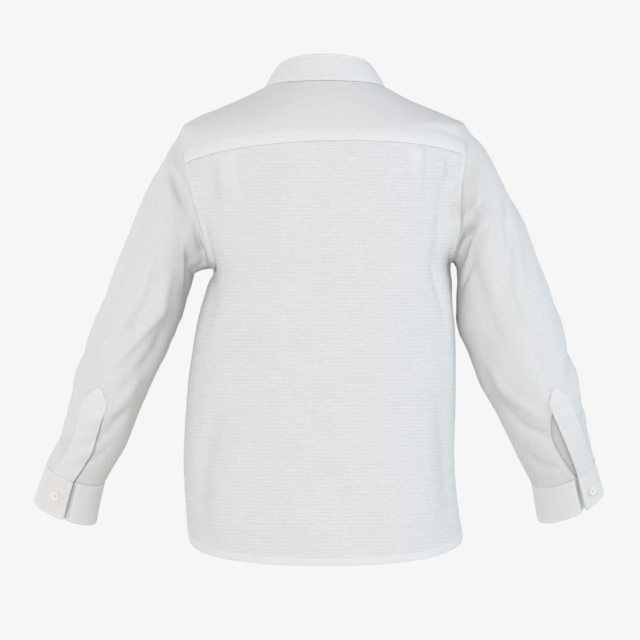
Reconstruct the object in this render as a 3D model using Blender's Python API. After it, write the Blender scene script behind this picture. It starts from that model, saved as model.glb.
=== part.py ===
"""A child's long-sleeve shirt with a band collar, filled out as it is when it is worn.

The front faces -Y, the wearer's left arm is at +X, and the origin is the middle of the neck seam.
The tables are in millimetres. Each point becomes metres as its mesh is made.
The torso is one smooth surface with two coordinates: an angle round it and a ring down it.
The cut pieces are stretches of that surface, 0.3 mm or a little more apart where they are sewn.
"""

import math

import bmesh
import bpy
from mathutils import Vector

MM = 0.001

# Thickness of the cloth and of the doubled bands, the space left at a seam and under a lap, how far
# the yoke stands proud, and the angle in degrees above which an edge is drawn sharp
CLOTH = 1.4
BAND = 2.0
SEAM = 0.35
UNDER = 0.4
YOKE_LIFT = 0.5
SHARP_ANGLE = 40.0

# The torso's rings, from the neck seam to the hem. Each ring is a squarish oval.
# z_side, z_back and z_front are its heights at the side and at the middle of the back and front.
# half is half its width, lean its shift to the wearer's left, tilt how much its left side rises.
# back and front are its depths, square is its squareness, and bend shapes its dip from the side.
RING_COLUMNS = ("z_side", "z_back", "z_front", "half", "lean", "tilt", "back", "front", "square", "bend")
RINGS = (
    (-3.0, 1.0, -46.0, 66.5, 0.0, 0.0, 43.0, 44.0, 2.00, 0.90),
    (-14.0, -12.0, -55.0, 88.0, 0.5, 0.0, 55.0, 55.0, 2.00, 0.95),
    (-25.0, -27.0, -65.0, 115.0, 1.0, 0.0, 65.5, 64.0, 2.00, 0.95),
    (-36.5, -43.0, -77.0, 142.0, 2.0, -0.5, 74.0, 72.0, 2.00, 0.95),
    (-49.0, -55.0, -92.0, 157.3, 1.8, -2.5, 79.0, 78.5, 2.05, 0.95),
    (-97.0, -66.5, -114.0, 166.5, 0.0, -4.7, 82.5, 84.0, 2.05, 0.95),
    (-135.0, -99.0, -142.0, 165.0, -1.5, -2.5, 88.5, 90.0, 2.05, 0.90),
    (-170.0, -150.0, -173.0, 151.5, -7.0, -3.0, 92.0, 93.0, 2.25, 0.80),
    (-197.0, -197.0, -199.0, 131.5, -8.0, -3.7, 92.5, 94.5, 2.80, 0.80),
    (-220.0, -221.0, -223.0, 134.4, -5.0, -1.0, 92.0, 94.5, 2.65, 0.80),
    (-262.0, -264.0, -266.0, 140.5, 0.0, 0.0, 91.5, 94.0, 2.50, 0.80),
    (-307.0, -310.0, -311.0, 144.8, 2.4, 0.0, 91.5, 94.0, 2.40, 0.75),
    (-354.0, -360.0, -361.0, 147.7, 4.7, 0.0, 92.0, 94.5, 2.30, 0.75),
    (-404.0, -415.0, -416.0, 148.5, 6.6, 0.0, 94.0, 96.0, 2.30, 0.70),
    (-448.0, -464.0, -465.0, 149.2, 4.5, 0.0, 96.5, 98.0, 2.25, 0.68),
    (-490.0, -517.5, -519.0, 151.0, 0.0, 0.0, 99.0, 100.0, 2.20, 0.65),
)
NECK_RING = 0.0
TIP_RING = 4.0
YOKE_RING = 5.0
PIT_RING = 8.0
HEM_RING = 15.0

# The armhole is an oval on the torso: how many degrees it reaches to the back and to the front
ARMHOLE_BACK = 27.0
ARMHOLE_FRONT = 30.0
ARMHOLE_STEP = 15
# Turn round the armhole, from the shoulder tip, where the yoke's back and front seams meet it
BACK_SEAM_TURN = 60
FRONT_SEAM_TURN = 45
# Angle of the yoke's front seam at the neck, towards the front from the shoulder line
NECK_SEAM_ANGLE = -24.0
# Neck angle at which the yoke's armhole ends and its back seam starts
SHOULDER_NECK_ANGLE = 30.0
# Space at the yoke's back seam, in rings, and at its front seam, in degrees
BACK_SEAM_GAP = 0.008
FRONT_SEAM_GAP = 0.45

# Rows of the torso below the armpit, columns of each panel
SKIRT_ROWS = 10
FRONT_COLUMNS = 10
FRONT_TOP_ROWS = 4
YOKE_ROWS = 6
BACK_STEP = 7.5
CALM_ANGLE = 45.0
# Degrees over which folds fade at a panel's side edges
FADE_ANGLE = 6.0

# Knife pleats under the yoke: angle of the edge, its side, height and the ring where it has faded
PLEAT_COLUMNS = ("angle", "side", "height", "end_ring")
PLEATS = (
    (51.5, 1.0, 3.0, 6.6),
    (126.5, -1.0, 3.6, 7.0),
)
PLEAT_LIP = 0.7
PLEAT_RAMP = 14.0

# Largest folds of the torso's back: ends in X and Z, half width and height
BODY_FOLD_COLUMNS = ("x1", "z1", "x2", "z2", "spread", "height")
BODY_FOLDS = (
    (-134.0, -84.0, -139.0, -125.0, 7.5, -3.2),
    (-138.0, -130.0, -126.0, -182.0, 8.0, -3.0),
    (-118.0, -95.0, -120.0, -170.0, 10.0, 1.8),
    (128.0, -98.0, 124.0, -172.0, 8.0, -2.6),
    (110.0, -110.0, 106.0, -190.0, 11.0, 1.6),
    (-128.0, -330.0, -136.0, -470.0, 9.0, -2.4),
    (124.0, -360.0, 128.0, -480.0, 11.0, -1.8),
)

# Sections across each sleeve: its outer and inner outline seen from behind, half its depth, and
# how far its middle lies to the back. x is measured outwards from the middle of the shirt.
SLEEVE_COLUMNS = ("outer_x", "outer_z", "inner_x", "inner_z", "depth", "middle_y")
SLEEVE_LEFT = (
    (176.0, -80.0, 145.0, -207.0, 53.0, -2.0),
    (200.0, -124.0, 148.5, -223.0, 52.0, -3.0),
    (219.0, -170.0, 153.5, -241.0, 50.0, -4.0),
    (236.0, -211.0, 162.0, -262.0, 49.0, -5.0),
    (256.0, -262.0, 172.0, -288.0, 47.0, -7.0),
    (270.0, -306.0, 191.0, -327.0, 45.5, -12.0),
    (284.5, -355.0, 210.0, -369.5, 43.0, -20.0),
    (296.5, -390.5, 224.0, -402.5, 39.5, -30.0),
    (310.0, -416.0, 246.5, -439.0, 32.0, -38.5),
)
SLEEVE_RIGHT = (
    (176.0, -70.0, 146.0, -204.0, 53.0, -2.0),
    (200.0, -115.0, 145.5, -223.0, 53.0, -3.0),
    (222.0, -162.0, 145.0, -245.0, 51.0, -4.0),
    (241.5, -209.0, 147.5, -269.0, 49.0, -6.0),
    (258.5, -253.0, 157.0, -289.0, 47.0, -9.0),
    (270.0, -293.0, 170.5, -328.5, 45.5, -15.0),
    (282.5, -337.0, 190.0, -361.0, 43.0, -26.0),
    (293.0, -375.0, 211.0, -401.0, 39.0, -40.0),
    (302.0, -412.5, 233.0, -442.0, 29.5, -57.0),
)
# Lower edge of each cuff, in the same columns
CUFF_HEM_LEFT = (325.5, -458.0, 257.5, -484.5, 30.2, -50.0)
CUFF_HEM_RIGHT = (315.0, -450.5, 241.5, -484.0, 27.0, -74.0)
LAST_SECTION = 9.0
# Rows of a sleeve above its slit, and how many there are beside the slit
SLEEVE_ROWS = (0.0, 0.14, 0.32, 0.6, 1.0, 1.5, 2.0, 2.6, 3.2, 3.8, 4.4, 5.0, 5.6, 6.1)
SLIT_ROWS = 5
# How far a sleeve leaves the armhole straight out at the underarm, and in towards the hole
UNDERARM_PUSH = 1.5
CAP_PULL = 0.3

# Each arm: side, sections, cuff edge, turn of the slit at the armhole, its twist above the slit
# and at the cuff, how wide the slit gapes, how far round from the slit the button sits and how far
# down the cuff
ARM_COLUMNS = (
    "name", "side", "sections", "cuff_hem", "slit_turn", "twist", "end_twist", "gape",
    "button_turn", "button_share")
ARMS = (
    ("left", 1.0, SLEEVE_LEFT, CUFF_HEM_LEFT, 90.0, 6.0, 6.0, 3.0, 24.0, 0.5),
    ("right", -1.0, SLEEVE_RIGHT, CUFF_HEM_RIGHT, 75.0, 6.0, -2.0, 10.5, 20.0, 0.58),
)
TWIST_START = 1.0
TWIST_MIDDLE = 6.0

# Largest folds of each sleeve: section and turn at both ends, half width and height
SLEEVE_FOLD_COLUMNS = ("row1", "turn1", "row2", "turn2", "spread", "height")
SLEEVE_FOLDS = {
    "left": (
        (0.5, 118.0, 2.2, 150.0, 9.0, 3.0),
        (0.7, 142.0, 2.4, 166.0, 7.0, -3.2),
        (3.4, 60.0, 5.4, 108.0, 10.0, -2.2),
        (5.4, 112.0, 7.2, 140.0, 9.0, 2.0),
    ),
    "right": (
        (0.9, 84.0, 1.9, 146.0, 9.0, 3.4),
        (1.3, 104.0, 2.3, 158.0, 8.0, -3.6),
        (2.0, 72.0, 4.0, 92.0, 8.0, -2.2),
        (4.4, 118.0, 6.6, 150.0, 10.0, -2.2),
    ),
}
SECTION_LENGTH = 38.0
TURN_LENGTH = 0.85
# Sections over which a sleeve's folds fade at the armhole and at the cuff
FADE_AT_CAP = 0.6
FADE_AT_CUFF = 1.0

# Slit of the sleeve and the strip that covers it, measured up from the cuff seam
SLIT_LENGTH = 92.0
STRIP_CORNER = 104.0
STRIP_TIP = 119.0
STRIP_WIDTH = 26.0
STRIP_POINT = 3.0
STRIP_LIFT = CLOTH + UNDER + 0.2
SLIT_OPEN_END = 1.2
SLIT_DEGREE = 0.68
GAPE_SINK = 0.37
# Columns beside the slit over which its gap closes again, and how fast
GAPE_COLUMNS = 4.0
GAPE_EASE = 1.5

# Cuff: how far its end runs under itself, how deep, and over how many degrees it comes up again
CUFF_UNDERLAP = 32.0
CUFF_SINK = 4.6
CUFF_RISE = 20.0
CUFF_LIFT = 0.6
CUFF_SEAM = SEAM + 0.1
CUFF_OPENING_STEPS = (0.0, 7.0, 14.0, 21.0)
CUFF_COLUMNS = 22
CUFF_ROWS = 4

# Collar band: its top edge, as a ring in the same terms as the torso's
COLLAR_TOP = {
    "z_side": 21.0, "z_back": 31.0, "z_front": -22.0, "half": 51.0, "lean": 0.0, "tilt": 0.0,
    "back": 41.0, "front": 41.0, "square": 2.0, "bend": 0.9}
COLLAR_ROWS = 4
COLLAR_BULGE = 0.8
# Degrees over which its left end comes down from over the right end
COLLAR_STEP_DOWN = 12.0

# Front: half the width of the button strip and how far the right front runs under it
STRIP_HALF = 14.0
UNDER_EDGE = 12.0
STRIP_TOP_RING = 0.22
FRONT_BUTTONS = 6
FIRST_BUTTON_Z = -88.0
BUTTON_SPACING = 70.0

# Buttons: radius and height of each step of their turned shape
BUTTON_PROFILE = (
    (0.0, 0.0), (4.1, 0.0), (4.8, 0.8), (4.8, 1.5), (4.2, 2.1), (3.4, 2.1), (2.8, 1.6), (0.0, 1.5))
BUTTON_SIDES = 14

WHITE = (0.80, 0.80, 0.80, 1.0)
CREAM = (0.82, 0.77, 0.66, 1.0)


def clear_scene():
    """Removes what is in the scene."""
    for thing in list(bpy.data.objects):
        bpy.data.objects.remove(thing, do_unlink=True)


def material(name, colour, roughness):
    """Makes a plain finish."""
    finish = bpy.data.materials.new(name)
    finish.use_nodes = True
    shader = finish.node_tree.nodes["Principled BSDF"]
    shader.inputs["Base Color"].default_value = colour
    shader.inputs["Roughness"].default_value = roughness
    shader.inputs["Metallic"].default_value = 0.0
    return finish


def smooth_step(value):
    """Goes softly from 0 to 1."""
    value = min(1.0, max(0.0, value))
    return value * value * (3.0 - 2.0 * value)


def spline(table, column, place):
    """Reads one column of a table of rows at any place between them, on a smooth curve."""
    last = len(table) - 1
    first = min(max(int(math.floor(place)), 0), last - 1)
    step = place - first
    before = table[max(first - 1, 0)][column]
    start = table[first][column]
    end = table[first + 1][column]
    after = table[min(first + 2, last)][column]
    curve = 2.0 * start + (end - before) * step
    curve += (2.0 * before - 5.0 * start + 4.0 * end - after) * step ** 2
    curve += (3.0 * start - before - 3.0 * end + after) * step ** 3
    return curve / 2.0


def row_at(table, columns, place):
    """Reads every column of a table at one place, by name."""
    return {name: spline(table, index, place) for index, name in enumerate(columns)}


def signed_power(value, power):
    """Raises a number to a power and keeps its sign."""
    return math.copysign(abs(value) ** power, value)


def ring_point(ring, angle):
    """Point of a squarish oval ring. Angle 0 is the left side, 90 the back and 270 the front."""
    across = signed_power(math.cos(math.radians(angle)), 2.0 / ring["square"])
    through = math.sin(math.radians(angle))
    depth = ring["back"] if through >= 0.0 else ring["front"]
    end = ring["z_back"] if through >= 0.0 else ring["z_front"]
    height = ring["z_side"] + (end - ring["z_side"]) * abs(through) ** ring["bend"]
    return Vector((
        ring["lean"] + ring["half"] * across,
        depth * signed_power(through, 2.0 / ring["square"]),
        height + ring["tilt"] * across))


def torso_point(angle, place):
    """Point of the torso's smooth surface."""
    return ring_point(row_at(RINGS, RING_COLUMNS, place), angle)


def torso_normal(angle, place):
    """Direction that points out of the torso's smooth surface."""
    low = min(place + 0.03, HEM_RING)
    high = max(place - 0.03, NECK_RING)
    down = torso_point(angle, low) - torso_point(angle, high)
    around = torso_point(angle + 0.6, place) - torso_point(angle - 0.6, place)
    return down.cross(around).normalized()


def ridge(distance, spread):
    """Cross profile of a soft fold."""
    return math.exp(-(distance / spread) ** 2)


def distance_to_line(point, start, end):
    """Distance from a point to a line between two ends, on a flat sheet."""
    along = (end[0] - start[0], end[1] - start[1])
    length = along[0] ** 2 + along[1] ** 2
    share = ((point[0] - start[0]) * along[0] + (point[1] - start[1]) * along[1]) / length
    share = min(1.0, max(0.0, share))
    return math.hypot(point[0] - start[0] - share * along[0], point[1] - start[1] - share * along[1])


def pleat_height(angle, place):
    """How far the knife pleats under the yoke stand out."""
    height = 0.0
    for row in PLEATS:
        pleat = dict(zip(PLEAT_COLUMNS, row))
        outward = (pleat["angle"] - angle) * pleat["side"]
        ramp = smooth_step(1.0 + outward / PLEAT_RAMP) if outward < 0.0 else 0.0
        lip = 1.0 - outward / PLEAT_LIP if 0.0 <= outward < PLEAT_LIP else 0.0
        below = place - YOKE_RING
        fade = 1.0 - smooth_step(below / (pleat["end_ring"] - YOKE_RING))
        bulge = 0.5 + 0.5 * smooth_step(below / 0.4)
        height += pleat["height"] * max(ramp, lip) * fade * bulge
    return height


def back_fold_height(point):
    """How far the largest folds of the back stand out or sink in."""
    height = 0.0
    for row in BODY_FOLDS:
        fold = dict(zip(BODY_FOLD_COLUMNS, row))
        ends = (fold["x1"], fold["z1"]), (fold["x2"], fold["z2"])
        height += fold["height"] * ridge(distance_to_line((point.x, point.z), *ends), fold["spread"])
    return height


def edge_calm(angle, left_edge, right_edge):
    """Fades folds out at a panel's side edges."""
    left = smooth_step((angle - left_edge) / FADE_ANGLE)
    return left * smooth_step((right_edge - angle) / FADE_ANGLE)


def wall_pair(point, normal, lift, thickness):
    """Outer and inner point of a cloth wall."""
    outer = point + normal * lift
    return outer, outer - normal * thickness


def torso_pair(angle, place, lift=0.0, thickness=CLOTH):
    """Outer and inner point of a wall on the torso."""
    return wall_pair(torso_point(angle, place), torso_normal(angle, place), lift, thickness)


def finish_mesh(name, vertices, faces, finish):
    """Makes a closed mesh object from points in millimetres."""
    mesh = bpy.data.meshes.new(name)
    mesh.from_pydata([tuple(point * MM) for point in vertices], [], faces)
    shape = bmesh.new()
    shape.from_mesh(mesh)
    bmesh.ops.recalc_face_normals(shape, faces=shape.faces)
    shape.to_mesh(mesh)
    shape.free()
    mesh.shade_smooth()
    mesh.set_sharp_from_angle(angle=math.radians(SHARP_ANGLE))
    mesh.materials.append(finish)
    thing = bpy.data.objects.new(name, mesh)
    bpy.context.scene.collection.objects.link(thing)
    return thing


def cloth_wall(name, grid, finish, joined_rows=0):
    """Closes a grid of outer and inner points into a wall.

    The first joined_rows rows run all the way round, so their last column is their first one.
    """
    vertices = []
    number = {}
    columns = len(grid[0])
    for row, line in enumerate(grid):
        for column, pair in enumerate(line):
            if row < joined_rows and column == columns - 1:
                number[row, column] = number[row, 0]
                continue
            number[row, column] = len(vertices)
            vertices.extend(pair)
    faces = []
    for row in range(len(grid) - 1):
        for column in range(columns - 1):
            corners = (row, column), (row, column + 1), (row + 1, column + 1), (row + 1, column)
            loop = [number[corner] for corner in corners]
            faces.append(loop)
            faces.append([index + 1 for index in reversed(loop)])
    border = [((0, c), (0, c + 1)) for c in range(columns - 1)]
    border += [((len(grid) - 1, c + 1), (len(grid) - 1, c)) for c in range(columns - 1)]
    for row in range(max(joined_rows - 1, 0), len(grid) - 1):
        border.append(((row + 1, 0), (row, 0)))
        border.append(((row, columns - 1), (row + 1, columns - 1)))
    for start, end in border:
        one, two = number[start], number[end]
        faces.append([two, one, one + 1, two + 1])
    return finish_mesh(name, vertices, faces, finish)


def body_angle(side, reach):
    """Angle on the torso of a place that is so many degrees behind the side line."""
    return reach if side > 0 else 180.0 - reach


def armhole_place(turn, front):
    """Place on the armhole: degrees behind the side line, and ring. Turn 0 is the shoulder tip."""
    reach = math.sin(math.radians(turn)) * (-ARMHOLE_FRONT if front else ARMHOLE_BACK)
    middle = (TIP_RING + PIT_RING) / 2.0
    half = (PIT_RING - TIP_RING) / 2.0
    return reach, middle - half * math.cos(math.radians(turn))


def side_gap(place, front):
    """Degrees between the side line and the panel's edge, half a seam's width."""
    ring = row_at(RINGS, RING_COLUMNS, place)
    depth = ring["front"] if front else ring["back"]
    return math.degrees(math.asin((SEAM / 2.0 / depth) ** (ring["square"] / 2.0)))


def front_angle(x, place):
    """Angle on the torso's front of a place at a given X."""
    ring = row_at(RINGS, RING_COLUMNS, place)
    across = (x - ring["lean"]) / ring["half"]
    return 270.0 + math.copysign(math.degrees(math.asin(abs(across) ** (ring["square"] / 2.0))), across)


def skirt_places():
    """Rings from the hem up to the armpit."""
    return [HEM_RING + (PIT_RING - HEM_RING) * index / SKIRT_ROWS for index in range(SKIRT_ROWS + 1)]


def back_columns():
    """Angles of the back's columns, with three close ones at each pleat's edge."""
    count = int(180.0 / BACK_STEP)
    angles = [BACK_STEP * index for index in range(count + 1)]
    for row in PLEATS:
        pleat = dict(zip(PLEAT_COLUMNS, row))
        angles = [angle for angle in angles if abs(angle - pleat["angle"]) > 2.5]
        angles.append(pleat["angle"] + pleat["side"] * 1e-6)
        angles.append(pleat["angle"] - pleat["side"] * PLEAT_LIP)
    return sorted(angles)


def squeeze(angle, left_edge, right_edge):
    """Moves a column in from the side where the armhole cuts the panel, and leaves the middle."""
    if angle < CALM_ANGLE:
        return left_edge + (CALM_ANGLE - left_edge) * angle / CALM_ANGLE
    if angle > 180.0 - CALM_ANGLE:
        share = (angle - 180.0 + CALM_ANGLE) / CALM_ANGLE
        return 180.0 - CALM_ANGLE + (right_edge - 180.0 + CALM_ANGLE) * share
    return angle


def back_rows():
    """Ring and side reach of each row of the back, from the hem to the yoke seam."""
    rows = [(place, side_gap(place, False)) for place in skirt_places()]
    for turn in range(180 - ARMHOLE_STEP, BACK_SEAM_TURN - 1, -ARMHOLE_STEP):
        reach, place = armhole_place(turn, False)
        rows.append((place, reach))
    return rows


def make_back_panel(finish):
    """The back below the yoke, with its two knife pleats and its folds."""
    grid = []
    for place, reach in back_rows():
        lower = max(place, YOKE_RING + BACK_SEAM_GAP)
        line = []
        for nominal in back_columns():
            angle = squeeze(nominal, reach, 180.0 - reach)
            calm = edge_calm(angle, reach, 180.0 - reach)
            lift = pleat_height(angle, lower) + calm * back_fold_height(torso_point(angle, lower))
            line.append(torso_pair(angle, lower, lift))
        grid.append(line)
    return cloth_wall("back_panel", grid, finish)


def yoke_seam_angle(place):
    """Degrees behind the side line of the yoke's front seam, from the neck to the armhole."""
    corner_reach, corner_place = armhole_place(FRONT_SEAM_TURN, True)
    return NECK_SEAM_ANGLE + (corner_reach - NECK_SEAM_ANGLE) * place / corner_place


def yoke_outline():
    """Outer edge of the yoke's left half, each place with the neck angle that it runs down from."""
    outline = []
    for turn in range(FRONT_SEAM_TURN, 0, -ARMHOLE_STEP):
        reach, place = armhole_place(turn, True)
        outline.append((reach, place, NECK_SEAM_ANGLE * turn / FRONT_SEAM_TURN))
    for turn in range(0, BACK_SEAM_TURN + 1, ARMHOLE_STEP):
        reach, place = armhole_place(turn, False)
        outline.append((reach, place, SHOULDER_NECK_ANGLE * turn / BACK_SEAM_TURN))
    seam_start = outline[-1][0]
    for nominal in back_columns():
        angle = squeeze(nominal, seam_start, 180.0 - seam_start)
        if seam_start + 0.1 < angle <= 90.0:
            share = (angle - seam_start) / (90.0 - seam_start)
            neck = SHOULDER_NECK_ANGLE + (90.0 - SHOULDER_NECK_ANGLE) * share
            outline.append((angle, YOKE_RING, neck))
    return outline


def yoke_columns():
    """All columns of the yoke, from its left front corner round the back to the right one."""
    left = yoke_outline()
    right = [(180.0 - angle, place, 180.0 - neck) for angle, place, neck in reversed(left) if angle < 89.9]
    return left + right


def make_yoke(finish):
    """The yoke, which wraps over both shoulders to a seam on the front."""
    grid = []
    for index in range(YOKE_ROWS + 1):
        share = index / YOKE_ROWS
        line = []
        for angle, place, neck in yoke_columns():
            where = NECK_RING + (place - NECK_RING) * share
            turned = neck + (angle - neck) * share
            line.append(torso_pair(turned, where, YOKE_LIFT))
        grid.append(line)
    return cloth_wall("back_yoke", grid, finish)


def front_rows():
    """Ring and side reach of each row of a front, from the hem to the neck seam."""
    rows = [(place, -side_gap(place, True)) for place in skirt_places()]
    for turn in range(180 - ARMHOLE_STEP, FRONT_SEAM_TURN - 1, -ARMHOLE_STEP):
        reach, place = armhole_place(turn, True)
        rows.append((place, reach))
    corner, reach = rows.pop()
    rows.append((corner, reach - FRONT_SEAM_GAP))
    for index in range(1, FRONT_TOP_ROWS + 1):
        place = corner + (NECK_RING - corner) * index / FRONT_TOP_ROWS
        rows.append((place, yoke_seam_angle(place) - FRONT_SEAM_GAP))
    return rows


def front_line(side, place, reach, edge_x):
    """Angles of one row of a front, from its side edge to its middle edge."""
    start = body_angle(side, reach)
    end = front_angle(edge_x, place)
    if side > 0:
        end -= 360.0
    return [start + (end - start) * index / FRONT_COLUMNS for index in range(FRONT_COLUMNS + 1)]


def make_front(name, side, edge_x, finish):
    """One front, from its side seam, armhole and yoke seam to the middle."""
    grid = []
    for place, reach in front_rows():
        grid.append([torso_pair(angle, place) for angle in front_line(side, place, reach, edge_x)])
    return cloth_wall(name, grid, finish)


def make_front_strip(finish):
    """The strip down the front edge that the buttons sit on."""
    grid = []
    for place, _ in front_rows():
        lower = max(place, STRIP_TOP_RING)
        left = front_angle(-STRIP_HALF, lower)
        right = front_angle(STRIP_HALF, lower)
        angles = [left + (right - left) * index / 3.0 for index in range(4)]
        grid.append([torso_pair(angle, lower, CLOTH + UNDER) for angle in angles])
    return cloth_wall("front_placket", grid, finish)


def neck_angles():
    """Columns of the collar, which are those of the fronts and the yoke at the neck seam."""
    left_front = front_line(1.0, NECK_RING, NECK_SEAM_ANGLE, UNDER_EDGE)
    right_front = front_line(-1.0, NECK_RING, NECK_SEAM_ANGLE, -UNDER_EDGE)
    yoke = [neck for _, _, neck in yoke_columns()]
    return list(reversed(left_front))[:-1] + yoke + right_front[1:]


def collar_pair(angle, share, lift):
    """Outer and inner point of the collar band, from its seam to its top edge."""
    low = torso_point(angle, NECK_RING) + Vector((0.0, 0.0, SEAM + YOKE_LIFT))
    high = ring_point(COLLAR_TOP, angle)
    beside = ring_point(COLLAR_TOP, angle + 0.5) - ring_point(COLLAR_TOP, angle - 0.5)
    normal = beside.cross(high - low).normalized()
    bulge = COLLAR_BULGE * math.sin(math.pi * share)
    return wall_pair(low.lerp(high, share), normal, lift + bulge, BAND)


def make_collar(finish):
    """The band collar, whose left end lies over its right end at the front."""
    overlap = math.degrees(math.asin(STRIP_HALF / COLLAR_TOP["half"]))
    angles = neck_angles()
    angles = [-90.0 - overlap, -90.0 - overlap / 2.0, -90.0] + angles + [270.0, 270.0 + overlap / 2.0]
    angles.append(270.0 + overlap)
    grid = []
    for index in range(COLLAR_ROWS + 1):
        share = index / COLLAR_ROWS
        line = []
        for angle in angles:
            over = 1.0 - smooth_step((angle + 90.0 - overlap) / COLLAR_STEP_DOWN)
            line.append(collar_pair(angle, share, over * (BAND + UNDER)))
        grid.append(line)
    return cloth_wall("collar_band", grid, finish)


def section_frame(arm, place):
    """Middle, half width, half depth and direction of a sleeve at one section."""
    row = row_at(arm["sections"], SLEEVE_COLUMNS, place - 1.0)
    outer = Vector((row["outer_x"] * arm["side"], row["middle_y"], row["outer_z"]))
    inner = Vector((row["inner_x"] * arm["side"], row["middle_y"], row["inner_z"]))
    return (outer + inner) / 2.0, (outer - inner) / 2.0, row["depth"]


def section_point(arm, place, turn):
    """Point of a sleeve at a section. Turn 0 is its outer side, 90 its back and 180 its inner side."""
    middle, across, depth = section_frame(arm, place)
    above = section_frame(arm, max(place - 0.1, 1.0))[0]
    below = section_frame(arm, min(place + 0.1, LAST_SECTION))[0]
    back = (below - above).cross(across).normalized() * arm["side"]
    angle = math.radians(turn)
    return middle + across * math.cos(angle) - back * depth * math.sin(angle)


def armhole_point(arm, turn):
    """Point of the armhole seam, with the torso's outward direction and the way into the hole."""
    front = turn % 360.0 > 180.0
    reach, place = armhole_place(360.0 - turn % 360.0 if front else turn % 360.0, front)
    angle = body_angle(arm["side"], reach)
    point = torso_point(angle, place)
    normal = torso_normal(angle, place)
    centre = torso_point(body_angle(arm["side"], 0.0), (TIP_RING + PIT_RING) / 2.0)
    inward = centre - point
    inward -= normal * inward.dot(normal)
    return point, normal, inward.normalized()


def sleeve_fold_height(arm, place, turn):
    """How far a sleeve's largest folds stand out or sink in."""
    height = 0.0
    spot = (place * SECTION_LENGTH, turn * TURN_LENGTH)
    for row in SLEEVE_FOLDS[arm["name"]]:
        fold = dict(zip(SLEEVE_FOLD_COLUMNS, row))
        start = (fold["row1"] * SECTION_LENGTH, fold["turn1"] * TURN_LENGTH)
        end = (fold["row2"] * SECTION_LENGTH, fold["turn2"] * TURN_LENGTH)
        height += fold["height"] * ridge(distance_to_line(spot, start, end), fold["spread"])
    return height


def sleeve_point(arm, place, turn):
    """Point of a sleeve's smooth surface, from the armhole at place 0 to the cuff seam."""
    upper = smooth_step((place - TWIST_START) / (TWIST_MIDDLE - TWIST_START))
    lower = smooth_step((place - TWIST_MIDDLE) / (LAST_SECTION - TWIST_MIDDLE))
    turned = turn + arm["twist"] * upper + (arm["end_twist"] - arm["twist"]) * lower
    if place >= 1.0:
        return section_point(arm, place, turned)
    seam, normal, inward = armhole_point(arm, turn)
    start = seam + (normal + inward) * SEAM
    end = section_point(arm, 1.0, turned)
    reach = (end - start).length
    underarm = (1.0 - math.cos(math.radians(turn))) / 2.0
    leave = (end - start).normalized() + normal * UNDERARM_PUSH * underarm ** 3 + inward * CAP_PULL
    leave = leave.normalized() * reach
    arrive = (section_point(arm, 1.1, turned) - end) * 10.0
    square, cube = place ** 2, place ** 3
    point = start * (2.0 * cube - 3.0 * square + 1.0) + leave * (cube - 2.0 * square + place)
    return point + end * (3.0 * square - 2.0 * cube) + arrive * (cube - square)


def sleeve_normal(arm, place, turn):
    """Direction that points out of a sleeve's smooth surface."""
    above = max(place - 0.05, 0.0)
    below = min(place + 0.05, LAST_SECTION)
    down = sleeve_point(arm, below, turn) - sleeve_point(arm, above, turn)
    around = sleeve_point(arm, place, turn + 1.0) - sleeve_point(arm, place, turn - 1.0)
    return down.cross(around).normalized() * arm["side"]


def sleeve_pair(arm, place, turn, lift=0.0, thickness=CLOTH):
    """Outer and inner point of a wall on a sleeve."""
    calm = smooth_step(place / FADE_AT_CAP) * smooth_step((LAST_SECTION - place) / FADE_AT_CUFF)
    normal = sleeve_normal(arm, place, turn)
    total = lift + calm * sleeve_fold_height(arm, place, turn % 360.0)
    outer, inner = wall_pair(sleeve_point(arm, place, turn), normal, total, thickness)
    if place == 0.0:
        inward = armhole_point(arm, turn)[2]
        depth = inner - outer
        depth -= inward * min(0.0, depth.dot(inward))
        inner = outer + depth.normalized() * thickness
    return outer, inner


def place_above_cuff(arm, distance):
    """Section place that lies so far above the cuff seam along the slit."""
    place = LAST_SECTION
    step = 0.02
    walked = 0.0
    while walked < distance:
        start = sleeve_point(arm, place, arm["slit_turn"])
        place -= step
        walked += (sleeve_point(arm, place, arm["slit_turn"]) - start).length
    return place


def slit_gape(arm, place):
    """Width of the slit's gap at one section, in degrees of turn."""
    top = place_above_cuff(arm, SLIT_LENGTH)
    share = (place - top) / (LAST_SECTION - top)
    if share <= 0.0:
        return 0.0
    lens = math.sin(math.pi * min(1.0, share ** 1.25)) ** 0.8
    return (arm["gape"] * lens + SLIT_OPEN_END * share) / SLIT_DEGREE


def make_sleeve(arm, finish):
    """One sleeve, a tube that is slit at its lower back up from the cuff."""
    top = place_above_cuff(arm, SLIT_LENGTH)
    places = [*SLEEVE_ROWS, top]
    places += [top + (LAST_SECTION - top) * (index + 1) / SLIT_ROWS for index in range(SLIT_ROWS)]
    joined = places.index(top) + 1
    count = 360 // ARMHOLE_STEP
    grid = []
    for place in places:
        line = []
        for index in range(count + 1):
            ease = max(0.0, 1.0 - index / GAPE_COLUMNS) ** GAPE_EASE
            turn = arm["slit_turn"] + index * ARMHOLE_STEP + ease * slit_gape(arm, place)
            sunk = -GAPE_SINK * SLIT_DEGREE * ease * slit_gape(arm, place)
            line.append(sleeve_pair(arm, place, turn, sunk))
        grid.append(line)
    return cloth_wall("sleeve_" + arm["name"], grid, finish, joined)


def turn_for_width(arm, place, width):
    """Degrees of turn that a width takes up on a sleeve at the slit."""
    start = sleeve_point(arm, place, arm["slit_turn"])
    near = sleeve_point(arm, place, arm["slit_turn"] - 10.0)
    return 10.0 * width / (near - start).length


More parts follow.
